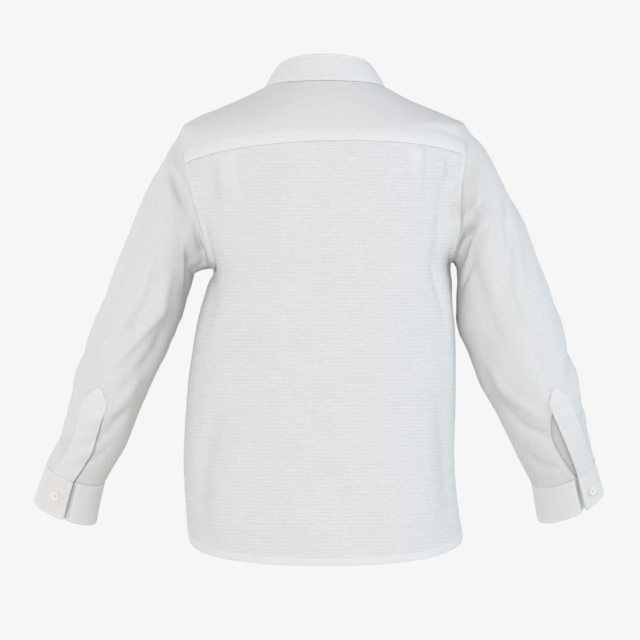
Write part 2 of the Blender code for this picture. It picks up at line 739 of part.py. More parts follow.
def make_sleeve_strip(arm, finish):
    """The pointed strip that covers a sleeve's slit."""
    heights = [STRIP_CORNER * index / 6.0 for index in range(7)]
    heights += [(STRIP_CORNER + STRIP_TIP) / 2.0, STRIP_TIP]
    grid = []
    for height in heights:
        place = min(place_above_cuff(arm, height), LAST_SECTION)
        beyond = max(0.0, height - STRIP_CORNER) / (STRIP_TIP - STRIP_CORNER)
        half = STRIP_WIDTH / 2.0 * (1.0 - beyond) + STRIP_POINT / 2.0 * beyond
        line = []
        for index in range(5):
            across = STRIP_WIDTH / 2.0 + half * (index / 2.0 - 1.0)
            turn = arm["slit_turn"] - turn_for_width(arm, place, across)
            line.append(sleeve_pair(arm, place, turn, STRIP_LIFT))
        grid.append(line)
    return cloth_wall("sleeve_placket_" + arm["name"], grid, finish)


def cuff_hem_point(arm, turn):
    """Point of a cuff's lower edge."""
    ring = dict(zip(SLEEVE_COLUMNS, arm["cuff_hem"]))
    outer = Vector((ring["outer_x"] * arm["side"], ring["middle_y"], ring["outer_z"]))
    inner = Vector((ring["inner_x"] * arm["side"], ring["middle_y"], ring["inner_z"]))
    middle = (outer + inner) / 2.0
    across = (outer - inner) / 2.0
    back = (middle - section_frame(arm, LAST_SECTION)[0]).cross(across).normalized() * arm["side"]
    angle = math.radians(turn + arm["end_twist"])
    return middle + across * math.cos(angle) - back * ring["depth"] * math.sin(angle)


def cuff_point(arm, share, turn):
    """Point of a cuff's smooth surface, from its seam at share 0 to its lower edge."""
    seam = sleeve_point(arm, LAST_SECTION, turn)
    above = section_frame(arm, LAST_SECTION - 0.1)[0]
    down = (section_frame(arm, LAST_SECTION)[0] - above).normalized()
    seam += down * CUFF_SEAM
    return seam.lerp(cuff_hem_point(arm, turn), share)


def cuff_pair(arm, share, turn, lift):
    """Outer and inner point of a cuff's wall."""
    down = cuff_point(arm, 1.0, turn) - cuff_point(arm, 0.0, turn)
    around = cuff_point(arm, share, turn + 1.0) - cuff_point(arm, share, turn - 1.0)
    normal = down.cross(around).normalized() * arm["side"]
    return wall_pair(cuff_point(arm, share, turn), normal, lift, BAND)


def make_cuff(arm, finish):
    """One cuff, a band whose end runs in under its buttoned edge."""
    start = arm["slit_turn"] - CUFF_UNDERLAP
    turns = [start, start + CUFF_UNDERLAP / 2.0]
    turns += [arm["slit_turn"] + step for step in CUFF_OPENING_STEPS]
    first = turns[-1]
    span = arm["slit_turn"] + 360.0 - first
    turns += [first + span * (index + 1) / CUFF_COLUMNS for index in range(CUFF_COLUMNS)]
    grid = []
    for row in range(CUFF_ROWS + 1):
        line = []
        for turn in turns:
            sink = 1.0 - smooth_step((turn - arm["slit_turn"]) / CUFF_RISE)
            line.append(cuff_pair(arm, row / CUFF_ROWS, turn, CUFF_LIFT - CUFF_SINK * sink))
        grid.append(line)
    return cloth_wall("cuff_" + arm["name"], grid, finish)


def make_button(name, centre, normal, finish):
    """One button with a raised rim, flat against what it is sewn to."""
    side = Vector((1.0, 0.0, 0.0)) if abs(normal.x) < 0.7 else Vector((0.0, 1.0, 0.0))
    first = normal.cross(side).normalized()
    second = normal.cross(first)
    vertices = []
    rings = []
    for radius, height in BUTTON_PROFILE:
        if radius == 0.0:
            rings.append([len(vertices)])
            vertices.append(centre + normal * height)
            continue
        rings.append(list(range(len(vertices), len(vertices) + BUTTON_SIDES)))
        for index in range(BUTTON_SIDES):
            angle = 2.0 * math.pi * index / BUTTON_SIDES
            out = first * math.cos(angle) + second * math.sin(angle)
            vertices.append(centre + normal * height + out * radius)
    faces = []
    for low, high in zip(rings, rings[1:]):
        for index in range(BUTTON_SIDES):
            after = (index + 1) % BUTTON_SIDES
            if len(low) == 1:
                faces.append([low[0], high[after], high[index]])
            elif len(high) == 1:
                faces.append([low[index], low[after], high[0]])
            else:
                faces.append([low[index], low[after], high[after], high[index]])
    return finish_mesh(name, vertices, faces, finish)


def make_front_buttons(finish):
    """The buttons down the front strip and the one on the collar band."""
    overlap_angle = -90.0
    outer = collar_pair(overlap_angle, 0.5, BAND + UNDER + SEAM)[0]
    inner = collar_pair(overlap_angle, 0.5, 0.0)[0]
    make_button("collar_button", outer, (outer - inner).normalized(), finish)
    for index in range(FRONT_BUTTONS):
        height = FIRST_BUTTON_Z - BUTTON_SPACING * index
        place = NECK_RING
        while torso_point(270.0, place).z > height:
            place += 0.01
        angle = front_angle(0.0, place)
        normal = torso_normal(angle, place)
        point = torso_point(angle, place) + normal * (CLOTH + UNDER + SEAM)
        make_button("front_button_%d" % (index + 1), point, normal, finish)


def make_cuff_button(arm, finish):
    """The button that holds a cuff shut."""
    turn = arm["slit_turn"] - arm["button_turn"]
    outer = cuff_pair(arm, arm["button_share"], turn, CUFF_LIFT + UNDER)[0]
    inner = cuff_pair(arm, arm["button_share"], turn, 0.0)[0]
    make_button("cuff_button_" + arm["name"], outer, (outer - inner).normalized(), finish)


def main():
    """Makes every piece of the shirt."""
    clear_scene()
    make_collar(material("collar_cloth", WHITE, 0.85))
    make_yoke(material("yoke_cloth", WHITE, 0.85))
    make_back_panel(material("back_cloth", WHITE, 0.85))
    make_front("front_left", 1.0, UNDER_EDGE + SEAM, material("front_left_cloth", WHITE, 0.85))
    make_front("front_right", -1.0, UNDER_EDGE, material("front_right_cloth", WHITE, 0.85))
    make_front_strip(material("front_strip_cloth", WHITE, 0.85))
    for row in ARMS:
        arm = dict(zip(ARM_COLUMNS, row))
        make_sleeve(arm, material("sleeve_cloth_" + arm["name"], WHITE, 0.85))
        make_sleeve_strip(arm, material("sleeve_strip_cloth_" + arm["name"], WHITE, 0.85))
        make_cuff(arm, material("cuff_cloth_" + arm["name"], WHITE, 0.85))
        make_cuff_button(arm, material("cuff_button_" + arm["name"], CREAM, 0.3))
    make_front_buttons(material("button", CREAM, 0.3))


main()
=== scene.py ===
# %% [markdown]
# # A child's long-sleeve shirt, filled out as it is when it is worn
#
# The shirt is cut and sewn from flat pieces of white cotton: a band collar, a yoke over the
# shoulders, a back, two fronts, a button strip, two sleeves with a pointed strip over each slit,
# and two cuffs. Each piece is made here as a thin wall of its own, on the form of the solid that
# it stands for, with its own folds, seams and rows of stitches.

# %% Load the solids
import math

import bpy
import numpy as np
from mathutils import Matrix, Vector


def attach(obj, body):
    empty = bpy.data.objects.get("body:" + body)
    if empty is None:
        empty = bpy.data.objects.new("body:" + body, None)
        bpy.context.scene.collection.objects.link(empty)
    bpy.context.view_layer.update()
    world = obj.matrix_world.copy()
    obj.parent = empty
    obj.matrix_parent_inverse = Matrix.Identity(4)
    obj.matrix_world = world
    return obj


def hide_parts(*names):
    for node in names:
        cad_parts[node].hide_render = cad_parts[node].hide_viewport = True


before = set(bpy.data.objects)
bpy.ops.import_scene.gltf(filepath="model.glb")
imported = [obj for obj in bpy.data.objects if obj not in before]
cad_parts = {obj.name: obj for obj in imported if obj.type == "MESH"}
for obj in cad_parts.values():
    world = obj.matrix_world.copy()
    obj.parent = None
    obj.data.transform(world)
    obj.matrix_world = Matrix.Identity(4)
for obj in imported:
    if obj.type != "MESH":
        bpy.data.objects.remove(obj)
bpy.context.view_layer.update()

MM = 0.001

# %% [markdown]
# ## Camera, floor and light
#
# The shirt is seen straight from behind, from about two and a half metres, so that near and far
# sleeves come out nearly the same size. A long lens gives that. The light is soft: a pale, warm
# room all round, one large lamp by the camera, a cool one from the right and a weaker one from the
# left. Two more light the front, which the camera doesn't see.

# %% Camera
CAMERA_PLACE = (0.0055, 2.5, -0.2574)
VIEW_WIDTH = 0.704
SENSOR = 36.0

camera_data = bpy.data.cameras.new("camera")
camera_data.sensor_width = SENSOR
camera_data.lens = SENSOR * CAMERA_PLACE[1] / VIEW_WIDTH
camera = bpy.data.objects.new("camera", camera_data)
camera.location = CAMERA_PLACE
camera.rotation_euler = (math.radians(90.0), 0.0, math.radians(180.0))
bpy.context.scene.collection.objects.link(camera)
bpy.context.scene.camera = camera
bpy.context.scene.view_settings.view_transform = "Standard"
print("lens:", round(camera_data.lens, 1), "mm")

# %% [markdown]
# ## Nodes written as sums
#
# A finish is a web of nodes. It reads best when its sums are written as sums, so a wire from a node
# can be added, taken away and multiplied here, and every other node comes from one method.

# %% Wires and finishes
class Wire:
    """The output of a node, which can be used in sums."""

    def __init__(self, finish, socket):
        self.finish = finish
        self.socket = socket

    def joined(self, operation, first, second):
        return self.finish.node("ShaderNodeMath", {"operation": operation}, {0: first, 1: second})

    def __add__(self, other):
        return self.joined("ADD", self, other)

    def __sub__(self, other):
        return self.joined("SUBTRACT", self, other)

    def __rsub__(self, other):
        return self.joined("SUBTRACT", other, self)

    def __mul__(self, other):
        return self.joined("MULTIPLY", self, other)

    __radd__ = __add__
    __rmul__ = __mul__


class Finish:
    """A material, or the light of the room, that is made of nodes."""

    def __init__(self, tree):
        self.tree = tree

    def node(self, kind, settings=None, inputs=None, output=0):
        made = self.tree.nodes.new(kind)
        for key, value in (settings or {}).items():
            setattr(made, key, value)
        for key, value in (inputs or {}).items():
            if isinstance(value, Wire):
                self.tree.links.new(value.socket, made.inputs[key])
            else:
                made.inputs[key].default_value = value
        return Wire(self, made.outputs[output]) if made.outputs else None

    def mix(self, share, first, second):
        """A colour between two colours."""
        return self.node(
            "ShaderNodeMix", {"data_type": "RGBA"}, {"Factor": share, "A": first, "B": second}, 2)


def new_finish(name, roughness):
    """A material with its shader, whose steady values are set on the shader itself."""
    material = bpy.data.materials.new(name)
    material.use_nodes = True
    shader = material.node_tree.nodes["Principled BSDF"]
    shader.inputs["Roughness"].default_value = roughness
    return material, Finish(material.node_tree), shader


# %% Room and floor
ROOM_LIGHT = 0.45
ROOM_COLOUR = (1.0, 0.937, 0.855, 1.0)
ROOM_SEEN = 0.92
WHITE = (1.0, 1.0, 1.0, 1.0)
FLOOR_Z = -1.2
FLOOR_RADIUS = 3.0
FLOOR_COLOUR = (0.76, 0.73, 0.68, 1.0)
SHIRT_MIDDLE = Vector((0.0, 0.0, -0.28))
LAMPS = (
    # name, place, width, watts, colour
    ("lamp_by_camera", (0.35, 3.0, 0.4), 1.5, 50.0, (0.915, 0.95, 1.0)),
    ("lamp_right_cool", (-2.6, 0.65, 0.4), 1.6, 32.0, (0.66, 0.835, 1.0)),
    ("lamp_left", (2.6, 0.65, 0.4), 1.6, 14.0, (0.95, 0.97, 1.0)),
    ("lamp_front_left", (2.1, -1.8, 0.6), 1.2, 27.0, (1.0, 1.0, 1.0)),
    ("lamp_front_right", (-1.7, -2.2, 0.2), 1.2, 12.0, (1.0, 1.0, 1.0)),
)

world = bpy.data.worlds.new("room")
world.use_nodes = True
world.node_tree.nodes.clear()
room = Finish(world.node_tree)
sight = room.node("ShaderNodeLightPath", output="Is Camera Ray")
giving = room.node("ShaderNodeBackground", inputs={"Color": ROOM_COLOUR, "Strength": ROOM_LIGHT})
seen = room.node("ShaderNodeBackground", inputs={"Color": WHITE, "Strength": ROOM_SEEN})
both = room.node("ShaderNodeMixShader", inputs={0: sight, 1: giving, 2: seen})
room.node("ShaderNodeOutputWorld", inputs={"Surface": both})
bpy.context.scene.world = world

floor_material, _, floor_shader = new_finish("pale_floor", 0.9)
floor_shader.inputs["Base Color"].default_value = FLOOR_COLOUR
bpy.ops.object.select_all(action="DESELECT")
bpy.ops.mesh.primitive_circle_add(
    vertices=96, radius=FLOOR_RADIUS, fill_type="NGON", location=(0.0, 0.0, FLOOR_Z))
bpy.ops.object.transform_apply(location=True, rotation=False, scale=False)
floor = bpy.context.object
floor.name = "floor"
floor.data.materials.append(floor_material)

for name, place, width, watts, colour in LAMPS:
    light = bpy.data.lights.new(name, "AREA")
    light.shape, light.size, light.energy, light.color = "DISK", width, watts, colour
    lamp = bpy.data.objects.new(name, light)
    lamp.location = place
    lamp.rotation_euler = (SHIRT_MIDDLE - Vector(place)).to_track_quat("-Z", "Y").to_euler()
    bpy.context.scene.collection.objects.link(lamp)
print("lamps:", len(LAMPS))

# %% [markdown]
# ## Curves and rings
#
# The body of the shirt is one smooth form. It is described by rings from the neck to the hem, and
# each ring is a squarish oval with its own height at the side, back and front. A place on it is an
# angle round the body and a ring number down it, and a smooth curve runs from ring to ring.
# All shapes are worked out in millimetres, for whole grids of points at once.

# %% Body form
RINGS = np.array((
    # side z, back z, front z, half width, lean, tilt, back depth, front depth, squareness, bend
    (-3.0, 1.0, -46.0, 66.5, 0.0, 0.0, 43.0, 44.0, 2.00, 0.90),
    (-14.0, -12.0, -55.0, 88.0, 0.5, 0.0, 55.0, 55.0, 2.00, 0.95),
    (-25.0, -27.0, -65.0, 115.0, 1.0, 0.0, 65.5, 64.0, 2.00, 0.95),
    (-36.5, -43.0, -77.0, 142.0, 2.0, -0.5, 74.0, 72.0, 2.00, 0.95),
    (-49.0, -55.0, -92.0, 157.3, 1.8, -2.5, 79.0, 78.5, 2.05, 0.95),
    (-97.0, -66.5, -114.0, 166.5, 0.0, -4.7, 82.5, 84.0, 2.05, 0.95),
    (-135.0, -99.0, -142.0, 165.0, -1.5, -2.5, 88.5, 90.0, 2.05, 0.90),
    (-170.0, -150.0, -173.0, 151.5, -7.0, -3.0, 92.0, 93.0, 2.25, 0.80),
    (-197.0, -197.0, -199.0, 131.5, -8.0, -3.7, 92.5, 94.5, 2.80, 0.80),
    (-220.0, -221.0, -223.0, 134.4, -5.0, -1.0, 92.0, 94.5, 2.65, 0.80),
    (-262.0, -264.0, -266.0, 140.5, 0.0, 0.0, 91.5, 94.0, 2.50, 0.80),
    (-307.0, -310.0, -311.0, 144.8, 2.4, 0.0, 91.5, 94.0, 2.40, 0.75),
    (-354.0, -360.0, -361.0, 147.7, 4.7, 0.0, 92.0, 94.5, 2.30, 0.75),
    (-404.0, -415.0, -416.0, 148.5, 6.6, 0.0, 94.0, 96.0, 2.30, 0.70),
    (-448.0, -464.0, -465.0, 149.2, 4.5, 0.0, 96.5, 98.0, 2.25, 0.68),
    (-490.0, -517.5, -519.0, 151.0, 0.0, 0.0, 99.0, 100.0, 2.20, 0.65),
))
COLLAR_TOP = np.array((21.0, 31.0, -22.0, 51.0, 0.0, 0.0, 41.0, 41.0, 2.0, 0.9))
NECK_RING = 0.0
TIP_RING = 4.0
YOKE_RING = 5.0
PIT_RING = 8.0
HEM_RING = 15.0


def smooth_step(value):
    """Goes softly from 0 to 1."""
    value = np.clip(value, 0.0, 1.0)
    return value * value * (3.0 - 2.0 * value)


def read_table(table, place):
    """Reads a table of rows at any places between them, on a smooth curve."""
    place = np.asarray(place, float)
    last = len(table) - 1
    first = np.clip(np.floor(place).astype(int), 0, last - 1)
    step = (place - first)[..., None]
    before = table[np.maximum(first - 1, 0)]
    start, end = table[first], table[first + 1]
    after = table[np.minimum(first + 2, last)]
    curve = 2.0 * start + (end - before) * step
    curve = curve + (2.0 * before - 5.0 * start + 4.0 * end - after) * step ** 2
    curve = curve + (3.0 * start - before - 3.0 * end + after) * step ** 3
    return curve / 2.0


def signed_power(value, power):
    """Raises numbers to a power and keeps their signs."""
    return np.copysign(np.abs(value) ** power, value)


def ring_point(ring, angle):
    """Points of a squarish oval ring. Angle 0 is the left side, 90 the back and 270 the front."""
    z_side, z_back, z_front, half, lean, tilt, back, front, square, bend = np.moveaxis(ring, -1, 0)
    across = signed_power(np.cos(np.radians(angle)), 2.0 / square)
    through = np.sin(np.radians(angle))
    depth = np.where(through >= 0.0, back, front)
    end = np.where(through >= 0.0, z_back, z_front)
    height = z_side + (end - z_side) * np.abs(through) ** bend
    deep = depth * signed_power(through, 2.0 / square)
    return np.stack([lean + half * across, deep, height + tilt * across], -1)


def body_point(angle, place):
    """Points of the body's smooth form."""
    return ring_point(read_table(RINGS, place), angle)


def unit(vector):
    """Vectors of the same directions, one long."""
    return vector / np.maximum(np.linalg.norm(vector, axis=-1, keepdims=True), 1e-9)


def body_normal(angle, place):
    """Directions that point out of the body's form."""
    low = np.minimum(place + 0.03, HEM_RING)
    high = np.maximum(place - 0.03, NECK_RING)
    down = body_point(angle, low) - body_point(angle, high)
    around = body_point(angle + 0.6, place) - body_point(angle - 0.6, place)
    return unit(np.cross(down, around))


def body_form(angle, place):
    """Points of the body's form and the directions out of it."""
    return body_point(angle, place), body_normal(angle, place)


def collar_edge(angle):
    """Points of the collar's top edge."""
    return ring_point(COLLAR_TOP + 0.0 * angle[..., None], angle)


def into_collar(angle, edge):
    """The way from the neck's edge up into the collar, and the way out of the neck there."""
    return unit(collar_edge(angle) - edge), unit(edge * np.array((1.0, 1.0, 0.0)))


print("body rings:", len(RINGS))

# %% [markdown]
# ## Folds, puckers and seams
#
# Cloth on a body falls in a few long folds, and each row of stitches draws it up into small
# puckers. The folds are placed as soft ridges and troughs along short paths. The puckers
# are ripples that fade away from a seam. A calm, uneven swell under both keeps large areas from
# looking pressed.

# %% Folds and puckers
def swell(across, down, size, seed):
    """A soft uneven surface between -1 and 1, with lumps of about the given size in mm."""
    lattice = np.random.default_rng(seed).uniform(-1.0, 1.0, (97, 97))
    across = np.asarray(across, float) / size + 40.0
    down = np.asarray(down, float) / size + 40.0
    column, row = np.floor(across).astype(int), np.floor(down).astype(int)
    x_share, y_share = smooth_step(across - column), smooth_step(down - row)
    column, row = column % 96, row % 96
    upper = lattice[row, column] * (1.0 - x_share) + lattice[row, column + 1] * x_share
    lower = lattice[row + 1, column] * (1.0 - x_share) + lattice[row + 1, column + 1] * x_share
    return upper * (1.0 - y_share) + lower * y_share


def fold(across, down, path, spread, height):
    """A soft ridge, or a trough if its height is below 0, along a path, lower towards its ends."""
    nearest = np.full(np.shape(across), 1e9)
    share_at = np.zeros(np.shape(across))
    lengths = np.linalg.norm(np.diff(path, axis=0), axis=1)
    walked = np.concatenate([[0.0], np.cumsum(lengths)])
    for index, length in enumerate(lengths):
        along = (path[index + 1] - path[index]) / length
        from_x, from_y = across - path[index][0], down - path[index][1]
        step = np.clip(from_x * along[0] + from_y * along[1], 0.0, length)
        distance = np.hypot(from_x - step * along[0], from_y - step * along[1])
        closer = distance < nearest
        nearest = np.where(closer, distance, nearest)
        share_at = np.where(closer, (walked[index] + step) / walked[-1], share_at)
    fade = np.sin(np.pi * np.clip(share_at * 0.86 + 0.07, 0.0, 1.0)) ** 0.7
    return height * fade * np.exp(-(nearest / spread) ** 2)


def folds(across, down, rows, scale=(1.0, 1.0)):
    """All folds of one piece. Each row is its path's points, then its half width and height."""
    return sum(fold(across, down, np.reshape(row[:-2], (-1, 2)) * scale, *row[-2:]) for row in rows)


def groove(distance, inset, depth=0.28, width=0.8):
    """The dent that a row of stitches pulls into the cloth."""
    return -depth * np.exp(-((distance - inset) / width) ** 2)


def puckers(distance, along, reach, height, seed):
    """Small ripples that run away from a seam and fade."""
    ripple = swell(along, distance * 0.25, 5.5, seed)
    ripple = ripple + 0.5 * swell(along, distance * 0.3, 2.8, seed + 1)
    return height * ripple * np.exp(-distance / reach)


def rolled(distance, depth=0.35):
    """Turns the last millimetre of a piece in towards its seam."""
    return -depth * np.exp(-(distance / 0.8) ** 2)


def walked_along(grid, axis):
    """Length walked from the first row or column of a grid to each point."""
    steps = np.linalg.norm(np.diff(grid, axis=axis), axis=-1)
    start = np.zeros_like(np.take(steps, [0], axis=axis))
    return np.concatenate([start, np.cumsum(steps, axis=axis)], axis=axis)


def edge_distances(grid):
    """Distances of each point from the first and last row, and from the first and last column."""
    down, across = walked_along(grid, 0), walked_along(grid, 1)
    return down, down[-1:] - down, across, across[:, -1:] - across


def shares(count):
    """Even steps from 0 to 1, with closer ones at both ends for the rolled edges."""
    close = np.array((0.25, 0.6)) / count
    return np.sort(np.concatenate([np.linspace(0.0, 1.0, count + 1), close, 1.0 - close]))


print("a swell of 10 mm lumps at its start:", round(float(swell(0.0, 0.0, 10.0, 1)), 3))

# %% [markdown]
# ## From a grid to a wall of cloth
#
# A cut piece is a grid of points on its outer face. The wall is that grid, the same grid a cloth's
# thickness further in, and a rim that closes the two. Each piece carries its flat cut as a UV map
# in metres, so that threads follow the cloth, and says how much of it is doubled.

# %% Walls
THIN = 0.9
DOUBLED = 1.5


def wall_mesh(name, outer, inner, flat, doubled, joined=0):
    """Closes two grids in mm into a mesh, whose first joined rows run all the way round."""
    rows, columns = outer.shape[:2]
    count = rows * columns
    cell = np.arange(count).reshape(rows, columns)
    face = np.stack([cell[:-1, :-1], cell[:-1, 1:], cell[1:, 1:], cell[1:, :-1]], -1).reshape(-1, 4)
    first = max(joined - 1, 0)
    border = np.concatenate([np.stack(pair, -1) for pair in (
        (cell[0, :-1], cell[0, 1:]), (cell[-1, 1:], cell[-1, :-1]),
        (cell[first + 1:, 0], cell[first:-1, 0]), (cell[first:-1, -1], cell[first + 1:, -1]))])
    rim = np.stack([border[:, 1], border[:, 0], border[:, 0] + count, border[:, 1] + count], -1)
    corners = np.concatenate([face, face[:, ::-1] + count, rim])
    points = np.concatenate([outer.reshape(-1, 3), inner.reshape(-1, 3)])
    middle = outer[rows // 2, columns // 2] - inner[rows // 2, columns // 2]
    patch = outer[rows // 2:rows // 2 + 2, columns // 2:columns // 2 + 2]
    turned = np.cross(patch[0, 1] - patch[0, 0], patch[1, 0] - patch[0, 0])
    if np.dot(turned, middle) < 0.0:
        corners = corners[:, ::-1]
    same = np.arange(2 * count)
    same[cell[:joined, -1]] = cell[:joined, 0]
    same[cell[:joined, -1] + count] = cell[:joined, 0] + count
    used, number = np.unique(same[corners], return_inverse=True)
    mesh = bpy.data.meshes.new(name)
    mesh.from_pydata((points[used] * MM).tolist(), [], number.reshape(-1, 4).tolist())
    uv = mesh.uv_layers.new(name="flat_cut")
    flat_all = np.concatenate([flat.reshape(-1, 2), flat.reshape(-1, 2)]) * MM
    uv.data.foreach_set("uv", flat_all[corners.reshape(-1)].astype(np.float32).ravel())
    share = mesh.attributes.new("doubled", "FLOAT", "POINT")
    doubled_all = np.concatenate([doubled.ravel(), doubled.ravel()])
    share.data.foreach_set("value", doubled_all[used].astype(np.float32))
    mesh.shade_smooth()
    mesh.set_sharp_from_angle(angle=math.radians(55.0))
    return mesh


def add_piece(name, mesh, material, slot, *nodes):
    """Puts a made mesh in the scene as a piece that stands for the solids named."""
    mesh.materials.append(material)
    piece = bpy.data.objects.new(name, mesh)
    bpy.context.scene.collection.objects.link(piece)
    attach(piece, "root")
    if nodes:
        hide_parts(*nodes)
    print(name, len(mesh.polygons), "faces")
    return piece


# %% [markdown]
# ## Rows of stitches
#
# A row of machine stitches is thread that dips into the cloth every three millimetres or so. Each
# stitch is a small grain with few faces, laid along a line that follows the piece's edge at a
# steady distance. The grains of one piece make one mesh.

# %% Stitches
STITCH_PITCH = 3.0
STITCH_LENGTH = 2.3
STITCH_RADIUS = 0.38
STITCH_SIDES = 5
STITCH_SHAPE = ((-0.5, 0.35), (-0.3, 1.0), (0.3, 1.0), (0.5, 0.35))


def read_line(values, walked, at):
    """Reads points of a line at given lengths along it."""
    return np.stack([np.interp(at, walked, values[:, axis]) for axis in range(3)], -1)


def inset_line(grid, facing, edge, inset, trim):
    """The line on a piece at a steady distance from one of its edges, and the way out there."""
    if edge.endswith("column"):
        grid, facing = np.swapaxes(grid, 0, 1), np.swapaxes(facing, 0, 1)
    if edge.startswith("last"):
        grid, facing = grid[::-1], facing[::-1]
    walked = walked_along(grid, 0)
    line, out = (
        np.array([read_line(values[:, column], walked[:, column], inset)
                  for column in range(values.shape[1])])
        for values in (grid, facing))
    along = np.concatenate([[0.0], np.cumsum(np.linalg.norm(np.diff(line, axis=0), axis=1))])
    keep = (along >= trim[0]) & (along <= along[-1] - trim[1])
    return line[keep], unit(out[keep])


def thread_grains(place, ahead, up, length=STITCH_LENGTH, radius=STITCH_RADIUS):
    """The corners of separate grains of thread: for each, four rings of five points."""
    ahead = unit(ahead)
    side = unit(np.cross(up, ahead))
    angles = np.arange(STITCH_SIDES) * 2.0 * math.pi / STITCH_SIDES
    rings = []
    for step, share in STITCH_SHAPE:
        middle = place + ahead * step * length + up * 0.4 * radius * (share - 1.0)
        circle = [middle + (side * math.cos(a) + up * math.sin(a)) * radius * share for a in angles]
        rings.append(np.stack(circle, 1))
    return np.stack(rings, 1)


def stitch_row(line, out, lift=0.05):
    """All stitches along a line."""
    steps = np.linalg.norm(np.diff(line, axis=0), axis=1)
    walked = np.concatenate([[0.0], np.cumsum(steps)])
    centres = np.arange(STITCH_PITCH / 2.0, walked[-1], STITCH_PITCH)
    up = unit(read_line(out, walked, centres))
    ahead = read_line(line, walked, centres + 0.6) - read_line(line, walked, centres - 0.6)
    return thread_grains(read_line(line, walked, centres) + up * lift, ahead, up)


def edge_stitches(grid, facing, edge, inset, start=2.0, end=2.0):
    """A row along one edge of a piece, which keeps so far from the edge's two ends."""
    return stitch_row(*inset_line(grid, facing, edge, inset, (start, end)))


def stitch_mesh(name, rows):
    """One mesh of many grains of thread."""
    grains = np.concatenate(rows)
    count, rings, sides = grains.shape[:3]
    faces = [list(range(sides))[::-1], [(rings - 1) * sides + side for side in range(sides)]]
    for ring in range(rings - 1):
        for side in range(sides):
            after = (side + 1) % sides
            faces.append([ring * sides + side, ring * sides + after,
                          (ring + 1) * sides + after, (ring + 1) * sides + side])
    everything = [[index * rings * sides + corner for corner in face]
                  for index in range(count) for face in faces]
    mesh = bpy.data.meshes.new(name)
    mesh.from_pydata((grains.reshape(-1, 3) * MM).tolist(), [], everything)
    mesh.shade_smooth()
    return mesh


# %% [markdown]
# ## Finish of the cloth
#
# The back and fronts are a white slub cotton: thicker threads run across it in short dashes, about
# four millimetres apart, with finer ones up and down. The yoke, sleeves and bands are closer and
# smoother. Noise that is stretched along the threads gives both, on the flat cut of each piece, and
# doubled cloth is a little whiter, because less of the dark inside shows through it.

# %% Cloth finish
RIB_PITCH = 0.0039
LIGHT_THROUGH = 0.14
# Shaded and lit copies of the thread colour: the shaded ones paint shade into the hollows between
# threads, the lit ones paint light on their tops.
SHADED_THREAD = (0.722, 0.724, 0.742, 1.0)
LIT_THREAD = (0.882, 0.880, 0.872, 1.0)
SHADED_DOUBLED = (0.765, 0.766, 0.782, 1.0)
LIT_DOUBLED = (0.915, 0.912, 0.905, 1.0)
THROUGH_COLOUR = (0.80, 0.765, 0.70, 1.0)
RELIEF_DEPTH = 0.00045
NOISES = (
    # length of the grains across and down the cloth in mm, and how far the noise is shifted
    (34.0, 9.0, 2.0),    # drift of the ribs
    (6.5, 1.4, 0.0),     # short thick dashes
    (22.0, 2.2, 9.0),    # long ones
    (1.5, 6.0, 3.0),     # threads down the cloth
    (2.6, 0.8, 7.0),     # threads across it
    (0.8, 0.8, 11.0),    # fine grain
    (60.0, 45.0, 5.0),   # large, faint clouds
)


def stretched_noise(finish, flat, across, down, shift):
    """Noise whose grains are so many millimetres long across and down the flat cut."""
    placed = finish.node(
        "ShaderNodeMapping", {"vector_type": "POINT"},
        {"Vector": flat, "Location": (shift, shift, shift),
         "Scale": (1000.0 / across, 1000.0 / down, 1.0)})
    return finish.node(
        "ShaderNodeTexNoise", {"noise_dimensions": "2D"},
        {"Vector": placed, "Scale": 1.0, "Detail": 2.0, "Roughness": 0.55})


